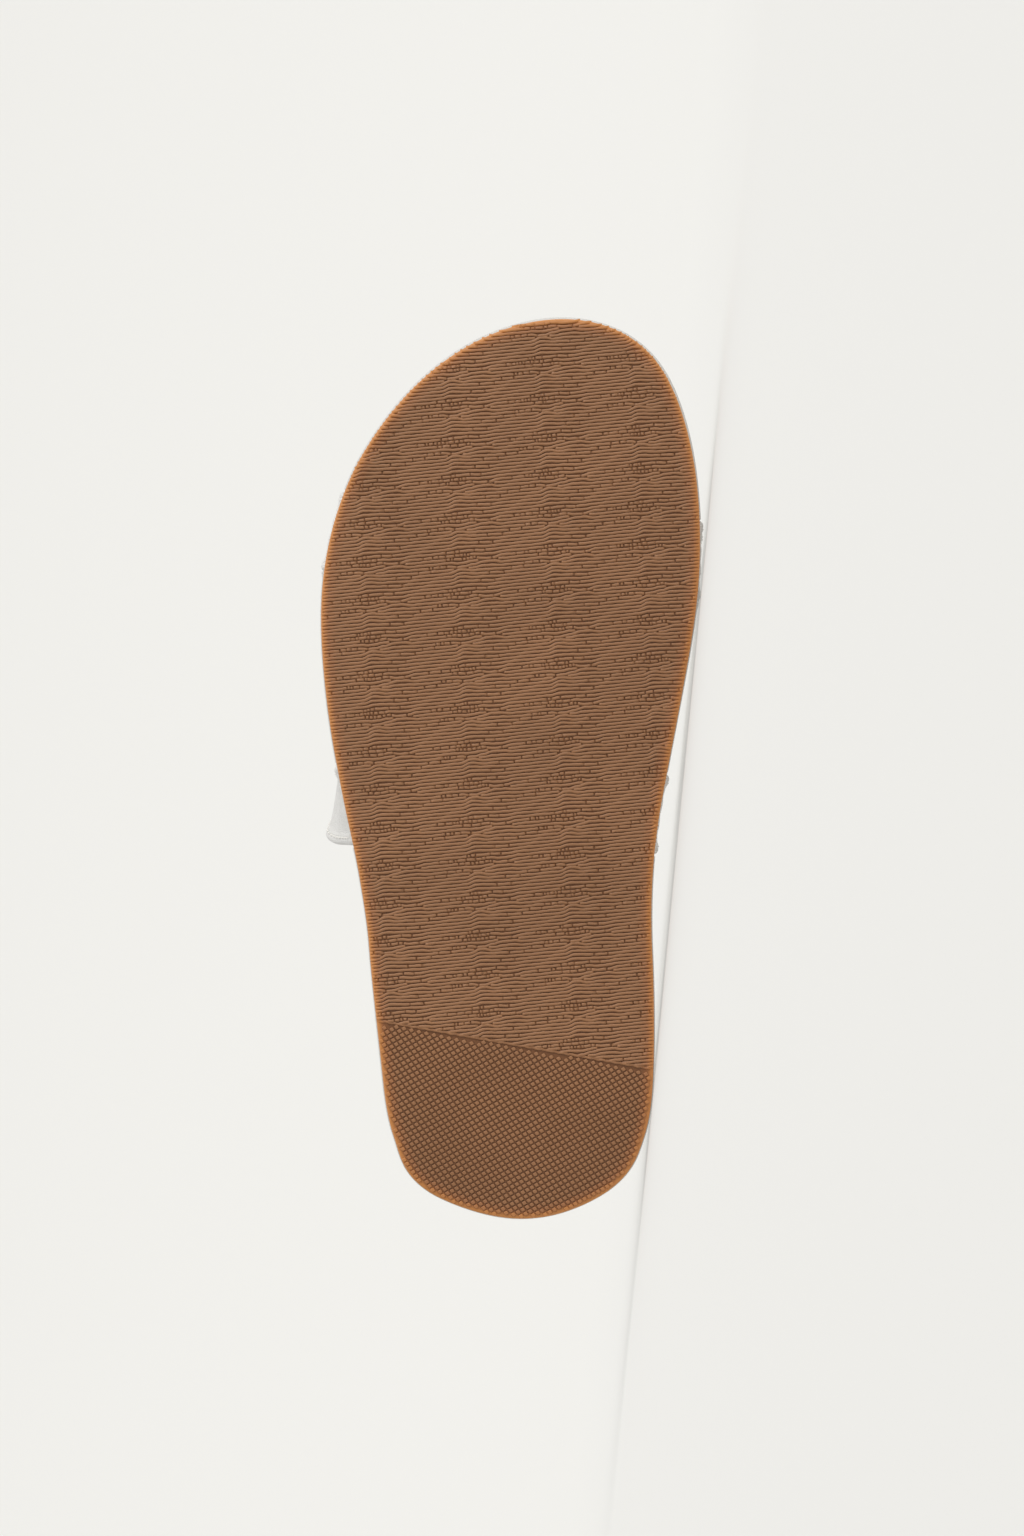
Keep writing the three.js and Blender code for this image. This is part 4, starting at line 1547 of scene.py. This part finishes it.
    def face_height(self, run: StrapRun, step: Array, across: Array) -> Array:
        """Height of the outer face off the middle of the wall, with hems, seams and creases.

        Args:
            run: The strap.
            step: Places along the strap, in steps.
            across: Places across it, from -1 at its rear edge to 1 at its front edge.

        Returns:
            One height for each place.
        """
        from_edge = (1 - np.abs(across)) * self.width(step) / 2
        out = self.out_of_tuck(step)
        turned = 1 - smooth_step(from_edge, self.hem_full * self.hem_width, self.hem_gone * self.hem_width)
        off_seam = (from_edge - self.stitch_inset) / self.stitch_groove_width
        seam = self.stitch_groove * np.exp(-(off_seam**2))
        height = self.wall / 2 + (self.hem_rise * turned - seam) * out
        for crease in run.creases:
            place = (step - crease.step - crease.lean * across) / crease.width
            outer, inner = self.crease_ease
            window = smooth_step(across, crease.start - outer, crease.start + inner)
            window *= 1 - smooth_step(across, crease.end - inner, crease.end + outer)
            height -= crease.depth * (1 - self.crease_shoulder * place**2) * np.exp(-(place**2)) * window
        from_end = np.minimum(step, self.steps - step) - self.tuck_steps - self.bend_steps
        gather = self.gather_depth * np.exp(-np.maximum(from_end, 0) / self.gather_reach) * out
        return height - gather * (1 + np.cos(across * self.gather_folds)) * (1 - turned)

    def section(self, step: float) -> tuple[Array, list[Skin]]:
        """A ring round the strap's section, with its points dense at the turned edges.

        Args:
            step: Place along the strap.

        Returns:
            Rows of place across from -1 to 1 and height, and what each row belongs to.
        """
        half = float(self.width(np.array([step]))[0]) / 2
        out = float(self.out_of_tuck(np.array([step]))[0])
        top = self.wall / 2 + self.hem_rise * out
        radius = (top + self.wall / 2) / 2
        centre = (top - self.wall / 2) / 2
        inner_part = [mix(self.face_places[-1], half, share) for share in self.inner_shares]
        rear_half = [-1 + place / half for place in (radius, *self.face_places, *inner_part)]
        front_half = [-place for place in rear_half[-2::-1]]
        rows = [(place, 0.0, Skin.FACE) for place in rear_half + front_half]
        angles = np.linspace(math.pi / 2, -math.pi / 2, self.edge_points + 2)[1:-1]
        front_edge = []
        rear_edge = []
        for angle in angles:
            place = 1 - radius * (1 - math.cos(angle)) / half
            height = centre + radius * math.sin(angle)
            front_edge.append((place, height, Skin.EDGE))
            rear_edge.append((-place, height, Skin.EDGE))
        border = 1 - self.back_border / half
        back = (1 - radius / half, border, *self.back_shares, -border, -1 + radius / half)
        rows += front_edge + [(place, -self.wall / 2, Skin.BACK) for place in back] + rear_edge[::-1]
        return np.array([(place, height) for place, height, _ in rows]), [skin for _, _, skin in rows]

    def strap(self, run: StrapRun, finishes: Sequence[bpy.types.Material]) -> bpy.types.Object:
        """Builds one strap as a closed solid with its lining on the inside.

        Args:
            run: The strap.
            finishes: Outer leather and lining.

        Returns:
            The new piece.
        """
        after_bend = self.tuck_steps + self.bend_steps
        ends = np.concatenate((
            np.linspace(0, self.tuck_steps, self.tuck_rings + 1)[:-1],
            np.linspace(self.tuck_steps, after_bend, self.bend_rings + 1)[:-1],
            np.linspace(after_bend, self.end_steps, self.rise_rings + 1)[:-1],
        ))
        arc = np.linspace(self.end_steps, self.end_steps + self.arc_steps, self.arc_rings + 1)
        steps = np.concatenate((ends, arc, self.steps - ends[::-1]))
        sections = [self.section(step) for step in steps]
        kinds = sections[0][1]
        across = np.array([rows[:, 0] for rows, _ in sections])
        fixed = np.array([rows[:, 1] for rows, _ in sections])
        along = np.repeat(steps, len(kinds))
        height = self.face_height(run, along, across.ravel()).reshape(across.shape)
        is_face = np.array([kind is Skin.FACE for kind in kinds])
        height = np.where(is_face, height, fixed)
        points, _ = self.surface(run, along, across.ravel(), height.ravel())
        count = len(kinds)
        quads = grid_faces(len(steps), count, True)
        lining = np.array([kind is Skin.BACK for kind in kinds])
        lining = lining & np.roll(lining, -1)
        face_kinds = np.tile(lining.astype(int), len(steps) - 1).tolist() + [0, 0]
        last = (len(steps) - 1) * count
        faces = quads.tolist() + [list(range(count))[::-1], list(range(last, last + count))]
        return self.model.piece(
            run.name, points, faces, finishes, "strap_leather", "upper", kinds=face_kinds
        )

    def seam(self, run: StrapRun, edge: int) -> tuple[Array, Array]:
        """Line of the stitches along one edge of a strap, and the way out of the leather.

        Args:
            run: The strap.
            edge: -1 for the rear edge and 1 for the front edge.

        Returns:
            Points and unit normals.
        """
        step = np.linspace(self.seam_start, self.steps - self.seam_start, self.seam_points)
        across = edge * (1 - 2 * self.stitch_inset / self.width(step))
        height = self.face_height(run, step, across) + self.stitch_lift
        return self.surface(run, step, across, height)

    def build(
        self, leather: bpy.types.Material, lining: bpy.types.Material, thread: bpy.types.Material
    ) -> None:
        """Builds both straps and their stitches.

        Args:
            leather: Outer leather.
            lining: Leather on the inside.
            thread: The sewing thread.
        """
        lines = []
        for run in (UNDER, OVER):
            self.strap(run, (leather, lining))
            for edge in (-1, 1):
                line, normal = self.seam(run, edge)
                lines.extend([(line, normal)] if run.on_top else self.bare_stretches(line, normal))
        stitches = Stitches(pitch=3.1, length=2.25)
        points, faces = stitches.mesh(lines)
        self.model.piece(
            "strap_stitches", points, faces, [thread], "strap_leather", "upper", weld=False
        )

    def bare_stretches(self, line: Array, normal: Array) -> list[tuple[Array, Array]]:
        """The stretches of a seam of the lower strap that the upper one leaves bare.

        Args:
            line: Points of the seam.
            normal: Unit normals of the seam.

        Returns:
            Points and normals of each stretch.
        """
        step = np.linspace(0, self.steps, self.seam_points)
        own = np.linspace(self.seam_start, self.steps - self.seam_start, len(line))
        covered_y = np.interp(own, step, self.middle_y(OVER, step))
        covered_half = np.interp(own, step, self.width(step) / 2)
        bare = np.abs(line[:, 1] - covered_y) > covered_half + self.seam_clearance
        cuts = np.flatnonzero(np.diff(bare.astype(int))) + 1
        parts = [part for part in np.split(np.arange(len(line)), cuts) if bare[part[0]]]
        return [(line[part], normal[part]) for part in parts if len(part) > self.shortest_seam]


@dataclass(frozen=True)
class Stitches:
    """Rows of stitches, each a short thread that dips into its holes at both ends.

    Each ring of the profile has its place along half a stitch, its size and its lift, the last two
    as shares of the thread's radius.
    """

    pitch: float
    length: float
    radius: float = 0.3
    sides: int = 6
    reach: float = 0.5
    profile: tuple[tuple[float, float, float], ...] = (
        (-1, 0.3, -0.5), (-0.8, 0.8, -0.1), (-0.35, 1, 0.12),
        (0.35, 1, 0.12), (0.8, 0.8, -0.1), (1, 0.3, -0.5),
    )

    def row(self, line: Array, normal: Array) -> Array:
        """Corners of the stitches along one seam.

        Args:
            line: Points of the seam.
            normal: The way out of the leather at each of them.

        Returns:
            The corners, one block of them for each stitch.
        """
        run = np.concatenate(([0], np.cumsum(np.linalg.norm(np.diff(line, axis=0), axis=1))))
        count = max(int(run[-1] / self.pitch), 1)
        places = (np.arange(count) + 0.5) * run[-1] / count

        def read(table: Array, at: Array) -> Array:
            """A table of vectors, read at distances along the seam."""
            return np.column_stack([np.interp(at, run, column) for column in table.T])

        centre = read(line, places)
        tangent = unit(read(line, places + self.reach) - read(line, places - self.reach))
        out = unit(read(normal, places))
        side = unit(np.cross(tangent, out))
        corners = []
        for place, size, lift in self.profile:
            for corner in range(self.sides):
                angle = 2 * math.pi * corner / self.sides
                sideways = side * math.cos(angle) * self.radius * size
                outward = out * (math.sin(angle) * size + lift) * self.radius
                corners.append(centre + tangent * (place * self.length / 2) + (sideways + outward))
        return np.stack(corners, axis=1).reshape(-1, 3)

    def mesh(self, lines: list[tuple[Array, Array]]) -> tuple[Array, list[list[int]]]:
        """Corners and faces of the stitches along several seams.

        Args:
            lines: Points and normals of each seam.

        Returns:
            The corners, and the corner numbers of each face.
        """
        corners = np.concatenate([self.row(line, normal) for line, normal in lines])
        each = len(self.profile) * self.sides
        base = (np.arange(len(corners) // each) * each)[:, None, None]
        quads = (base + grid_faces(len(self.profile), self.sides, True)[None]).reshape(-1, 4)
        first = base[:, 0] + np.arange(self.sides)[::-1]
        last = base[:, 0] + each - self.sides + np.arange(self.sides)
        return corners, quads.tolist() + first.tolist() + last.tolist()


@dataclass
class Footbed:
    """The foam body with its wrapped side, and the insole that lies in it."""

    model: Model
    sole: Sole
    straps: Straps
    outline_steps: int = 300
    notch_ease: float = 0.9
    notch_margin: float = 0.5
    notch_spare: float = 0.2
    notch_turn: float = 0.022
    notch_points: int = 9
    foot_shares: tuple[float, ...] = (1, 0.66, 0.33)
    foot_border: float = 0.6
    foot_lip: tuple[float, float] = (0.1, 0.05)
    side_ripples: tuple[tuple[float, float, float], ...] = ((0.08, 9, 4), (0.05, 23, -7))
    side_levels: tuple[float, ...] = (0.03, 0.06, 0.1, 0.17, 0.26, 0.35, 0.47, 0.58, 0.7, 0.8, 0.9, 1)
    rim_turns: tuple[float, ...] = (0.2, 0.4, 0.6, 0.8, 1)
    lip_drops: tuple[tuple[float, float], ...] = ((0.4, 0.18), (0.7, 0.5), (0.9, 0.85), (1, 1))
    bed_shares: tuple[float, ...] = (0, 0.1, 0.25, 0.5, 0.75, 1)

    insole_thickness: float = 1.7
    back_shares: tuple[float, ...] = (1, 0.7, 0.4, 0.15)
    insole_edge: tuple[tuple[float, float], ...] = (
        (0, 0.8), (0.04, 0.45), (0.18, 0.18), (0.45, 0.03), (0.9, 0),
        (1.6, 0), (2.3, 0), (2.9, 0), (3.3, 0), (3.6, 0), (3.9, 0), (4.3, 0), (4.9, 0), (5.6, 0),
    )
    insole_inner: float = 7
    insole_rings: int = 13
    seam_inset: float = 3.6
    seam_depth: float = 0.35
    seam_width: float = 0.7
    stitch_lift: float = 0.12
    seam_points: int = 900

    def turns(self) -> Array:
        """Turns round the outline, closer together at the edges of the strap notches.

        Returns:
            The turns in radians, in rising order.
        """
        plain = np.linspace(0, 2 * math.pi, self.outline_steps, endpoint=False)
        extra = []
        for side, y in self.notch_edges():
            turn = math.acos(1 - 2 * y / self.sole.length)
            turn = turn if side == Side.OUTER else 2 * math.pi - turn
            extra.extend(turn + np.linspace(-self.notch_turn, self.notch_turn, self.notch_points))
        return np.unique(np.concatenate((plain, extra)))

    def notch_edges(self) -> list[tuple[Side, float]]:
        """Side and place along the sole of each edge of each strap's end.

        Returns:
            Two rows for each end, its rear edge first.
        """
        half = self.straps.end_width / 2
        edges = []
        for run in (UNDER, OVER):
            for side, end in ((Side.OUTER, run.outer_end), (Side.INNER, run.inner_end)):
                middle = self.sole.length - end
                edges.extend(((side, middle - half), (side, middle + half)))
        return edges

    def notch(self, turn: Array) -> Array:
        """1 where a strap is let into the side and 0 elsewhere, with soft edges.

        Args:
            turn: How far round the outline each point lies, in radians.

        Returns:
            One share for each turn.
        """
        y = self.sole.edge_point(turn)[:, 1]
        on_outer = turn < math.pi
        depth = np.zeros(turn.shape)
        edges = self.notch_edges()
        for (side, low), (_, high) in zip(edges[::2], edges[1::2]):
            here = on_outer if side == Side.OUTER else ~on_outer
            low = low - self.notch_margin
            high = high + self.notch_margin
            inside = smooth_step(y, low, low + self.notch_ease)
            inside = inside * (1 - smooth_step(y, high - self.notch_ease, high))
            depth = np.maximum(depth, inside * here)
        return depth

    def side_ring(self, turn: Array, level: float, sunk: Array) -> Array:
        """A ring on the side of the body, let in where the straps pass.

        Args:
            turn: How far round the outline each point lies, in radians.
            level: Share of the side's height.
            sunk: How far each point is let in.

        Returns:
            The points, one row each.
        """
        y = self.sole.edge_point(turn)[:, 1]
        wave = sum(swing * np.sin(round_it * turn + up * level) for swing, round_it, up in self.side_ripples)
        out = self.sole.side_out(y, level) + wave * math.sin(math.pi * level) - sunk
        plan = self.sole.outline(turn, out)
        top = self.sole.rim(plan) - self.sole.rim_round
        return self.sole.ring(plan, mix(self.sole.body_foot, top, level))

    def rim_ring(self, turn: Array, angle: float, sunk: Array) -> Array:
        """A ring on the rounded rim.

        Args:
            turn: How far round the outline each point lies, in radians.
            angle: Angle round the rim, 0 at its outer side.
            sunk: How far each point is let in.

        Returns:
            The points, one row each.
        """
        y = self.sole.edge_point(turn)[:, 1]
        out = self.sole.side_out(y, 1.0) - self.sole.rim_round * (1 - math.cos(angle)) - sunk
        plan = self.sole.outline(turn, out)
        top = self.sole.rim(plan) - self.sole.rim_round
        return self.sole.ring(plan, top + self.sole.rim_round * math.sin(angle))

    def body(self, finish: bpy.types.Material) -> bpy.types.Object:
        """Builds the wrapped body.

        Args:
            finish: Its cover.

        Returns:
            The new piece.
        """
        turn = self.turns()
        sunk = self.notch(turn) * (self.straps.wall - self.straps.proud + self.notch_spare)
        foot = self.sole.body_foot
        border = self.sole.rim_width
        outward, rise = self.foot_lip
        rings = [
            self.inner_ring(turn, self.foot_border, share, lambda plan, inward: foot)
            for share in self.foot_shares
        ]
        rings.append(self.sole.ring(self.sole.outline(turn, -self.foot_border - sunk), foot))
        rings.append(self.sole.ring(self.sole.outline(turn, outward - sunk), foot + rise))
        rings.extend(self.side_ring(turn, level, sunk) for level in self.side_levels)
        rings.extend(self.rim_ring(turn, share * math.pi / 2, sunk) for share in self.rim_turns)
        crest_out = self.sole.side_out(self.sole.edge_point(turn)[:, 1], 1.0) - self.sole.rim_round
        crest = self.sole.outline(turn, crest_out - sunk)
        lip = self.sole.outline(turn, -border)
        for share, drop in self.lip_drops:
            plan = mix(crest, lip, share)
            rings.append(self.sole.ring(plan, self.sole.rim(plan) - self.sole.rim_drop * drop))
        sink = self.insole_thickness + self.sole.fit_gap
        rings.extend(self.bed_ring(turn, border, share, sink) for share in self.bed_shares)
        faces = grid_faces(len(rings), len(turn), True)
        piece = self.model.piece(
            "footbed_body", np.concatenate(rings), faces, [finish], "wrapped_foam", "midsole", sharp=50
        )
        return piece

    def inner_ring(
        self, turn: Array, border: float, share: float, height: Callable[[Array, float], Array]
    ) -> Array:
        """A ring at a share of the way from a border inside the outline to the middle line."""
        plan = mix(self.sole.outline(turn, -border), self.sole.spine(turn), share)
        return self.sole.ring(plan, height(plan, share))

    def bed_ring(self, turn: Array, border: float, share: float, sink: float) -> Array:
        """A ring at a depth below the insole's face."""
        return self.inner_ring(turn, border, share, lambda plan, inward: self.sole.bed(plan, inward) - sink)

    def insole_ring(self, turn: Array, distance: float, drop: float) -> Array:
        """A ring on the insole's face at a distance from its border.

        Args:
            turn: How far round the outline each point lies, in radians.
            distance: Distance from the border.
            drop: Depth below the face.

        Returns:
            The points, one row each.
        """
        border = self.sole.rim_width + self.sole.fit_gap
        plan = self.sole.outline(turn, -border - distance)
        reach = np.linalg.norm(self.sole.outline(turn, -border) - self.sole.spine(turn), axis=1)
        seam = self.seam_depth * math.exp(-(((distance - self.seam_inset) / self.seam_width) ** 2))
        return self.sole.ring(plan, self.sole.bed(plan, distance / reach) - drop - seam)

    def insole(self, finish: bpy.types.Material) -> bpy.types.Object:
        """Builds the insole with a pressed line for its seam.

        Args:
            finish: Its leather.

        Returns:
            The new piece.
        """
        turn = np.linspace(0, 2 * math.pi, self.outline_steps, endpoint=False)
        border = self.sole.rim_width + self.sole.fit_gap
        thick = self.insole_thickness
        rings = [self.bed_ring(turn, border, share, thick) for share in self.back_shares]
        rings.append(self.insole_ring(turn, 0, thick))
        rings.extend(self.insole_ring(turn, distance, drop) for distance, drop in self.insole_edge)
        edge = self.sole.outline(turn, -border - self.insole_inner)
        middle = self.sole.spine(turn)
        start = self.insole_inner / np.linalg.norm(self.sole.outline(turn, -border) - middle, axis=1)
        for share in np.linspace(0, 1, self.insole_rings):
            plan = mix(edge, middle, share)
            rings.append(self.sole.ring(plan, self.sole.bed(plan, mix(start, 1.0, share))))
        faces = grid_faces(len(rings), len(turn), True)
        return self.model.piece(
            "insole_cover", np.concatenate(rings), faces, [finish], "insole_leather", "insole"
        )

    def build(
        self, cover: bpy.types.Material, leather: bpy.types.Material, thread: bpy.types.Material
    ) -> None:
        """Builds the body, the insole and the insole's stitches.

        Args:
            cover: Cover of the body.
            leather: Leather of the insole.
            thread: The sewing thread.
        """
        self.body(cover)
        self.insole(leather)
        turn = np.linspace(0, 2 * math.pi, self.seam_points)
        line = self.insole_ring(turn, self.seam_inset, -self.stitch_lift)
        normal = np.tile((0.0, 0.0, 1.0), (len(line), 1))
        points, faces = Stitches(pitch=3.4, length=2.5).mesh([(line, normal)])
        self.model.piece(
            "insole_stitches", points, faces, [thread], "insole_leather", "insole", weld=False
        )


@dataclass(frozen=True)
class Sun:
    """A broad parallel light: the way to it, its strength and its angular size in degrees."""

    name: str
    direction: tuple[float, float, float]
    strength: float
    spread: float

    def add(self) -> None:
        """Puts the light in the scene."""
        light = bpy.data.lights.new(self.name, "SUN")
        light.energy = self.strength
        light.angle = math.radians(self.spread)
        lamp = bpy.data.objects.new(self.name, light)
        lamp.rotation_euler = Vector(self.direction).to_track_quat("Z", "Y").to_euler()
        bpy.context.scene.collection.objects.link(lamp)


@dataclass
class Studio:
    """A plain pale floor that sweeps up behind the shoe, soft light and the camera.

    The floor and its wall are in metres, the camera's aim and distance in millimetres of the shoe's
    frame, and pixel is the size on the tread of one pixel of the photo.
    """

    shoe: ShoeFrame
    frame_height: float = 1536
    pixel: float = 0.27907
    aim: tuple[float, float] = (1.95, 125.9)
    distance: float = 1500
    sensor: float = 36
    half_width: float = 4
    near: float = -3
    sweep_start: float = 1.6
    sweep_radius: float = 1.2
    wall_top: float = 4
    paper: Colour = (0.46, 0.455, 0.438)
    paper_roughness: float = 0.9
    paper_specular: float = 0.1
    glow: Colour = (0.385, 0.383, 0.371)
    sky: Colour = (1.0, 0.995, 0.98)
    sky_strength: float = 0.45
    suns: tuple[Sun, ...] = (
        Sun(name="toe_light", direction=(0.85, -0.42, 0.42), strength=1.75, spread=50),
        Sun(name="top_light", direction=(0.05, -0.21, 0.98), strength=0.92, spread=80),
    )
    farthest: float = 50
    sweep_rings: int = 17

    def floor(self) -> None:
        """Builds the floor and the wall in one sweep."""
        profile = [(self.near, 0.0), (0.0, 0.0)]
        for angle in np.linspace(0, math.pi / 2, self.sweep_rings):
            profile.append((
                self.sweep_start + self.sweep_radius * math.sin(angle),
                self.sweep_radius * (1 - math.cos(angle)),
            ))
        profile.append((self.sweep_start + self.sweep_radius, self.wall_top))
        points = [(x, y, z) for y, z in profile for x in (-self.half_width, self.half_width)]
        mesh = bpy.data.meshes.new("studio_floor")
        faces = [(2 * i, 2 * i + 1, 2 * i + 3, 2 * i + 2) for i in range(len(profile) - 1)]
        mesh.from_pydata(points, [], faces)
        mesh.shade_smooth()
        shader = Shader("studio_paper")
        shader.surface.inputs["Base Color"].default_value = (*self.paper, 1)
        shader.surface.inputs["Emission Color"].default_value = (*self.glow, 1)
        shader.surface.inputs["Emission Strength"].default_value = 1
        shader.gloss(self.paper_roughness, self.paper_specular)
        mesh.materials.append(shader.material)
        sweep = bpy.data.objects.new("studio_floor", mesh)
        bpy.context.scene.collection.objects.link(sweep)

    def light(self) -> None:
        """Lights the shoe from the toe end and from the camera's side."""
        world = bpy.data.worlds.new("studio_sky")
        world.use_nodes = True
        sky = world.node_tree.nodes["Background"]
        sky.inputs["Color"].default_value = (*self.sky, 1)
        sky.inputs["Strength"].default_value = self.sky_strength
        bpy.context.scene.world = world
        for sun in self.suns:
            sun.add()

    def camera(self) -> None:
        """Places the camera square below the tread, with the toe at the top of the picture."""
        data = bpy.data.cameras.new("photo_camera")
        data.sensor_width = self.sensor
        data.lens = self.sensor * self.distance / (self.frame_height * self.pixel)
        data.clip_end = self.farthest
        camera = bpy.data.objects.new("photo_camera", data)
        place = self.shoe.place(np.array((*self.aim, -self.distance)))
        axes = Matrix((-self.shoe.outward, self.shoe.lengthwise, -self.shoe.up)).transposed()
        camera.matrix_world = Matrix.Translation(Vector(place)) @ axes.to_4x4()
        bpy.context.scene.collection.objects.link(camera)
        bpy.context.scene.camera = camera

    def build(self) -> None:
        """Builds the stage, its light and the camera."""
        self.camera()
        self.floor()
        self.light()
        bpy.context.scene.view_settings.view_transform = "Standard"


def main() -> None:
    """Builds the sandal and its studio."""
    logging.basicConfig(level=logging.INFO, format="%(message)s")
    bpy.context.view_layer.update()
    model = Model(ShoeFrame())
    sole = Sole()
    straps = Straps(model, sole)
    thread = Thread(name="sewing_thread", colour=(0.78, 0.76, 0.71)).material()
    Studio(model.shoe).build()
    Outsole(model, sole).build(GumRubber().material())
    Footbed(model, sole, straps).build(BODY_COVER.material(), INSOLE_LEATHER.material(), thread)
    straps.build(STRAP_LEATHER.material(), STRAP_LINING.material(), thread)


if __name__ == "__main__":
    main()
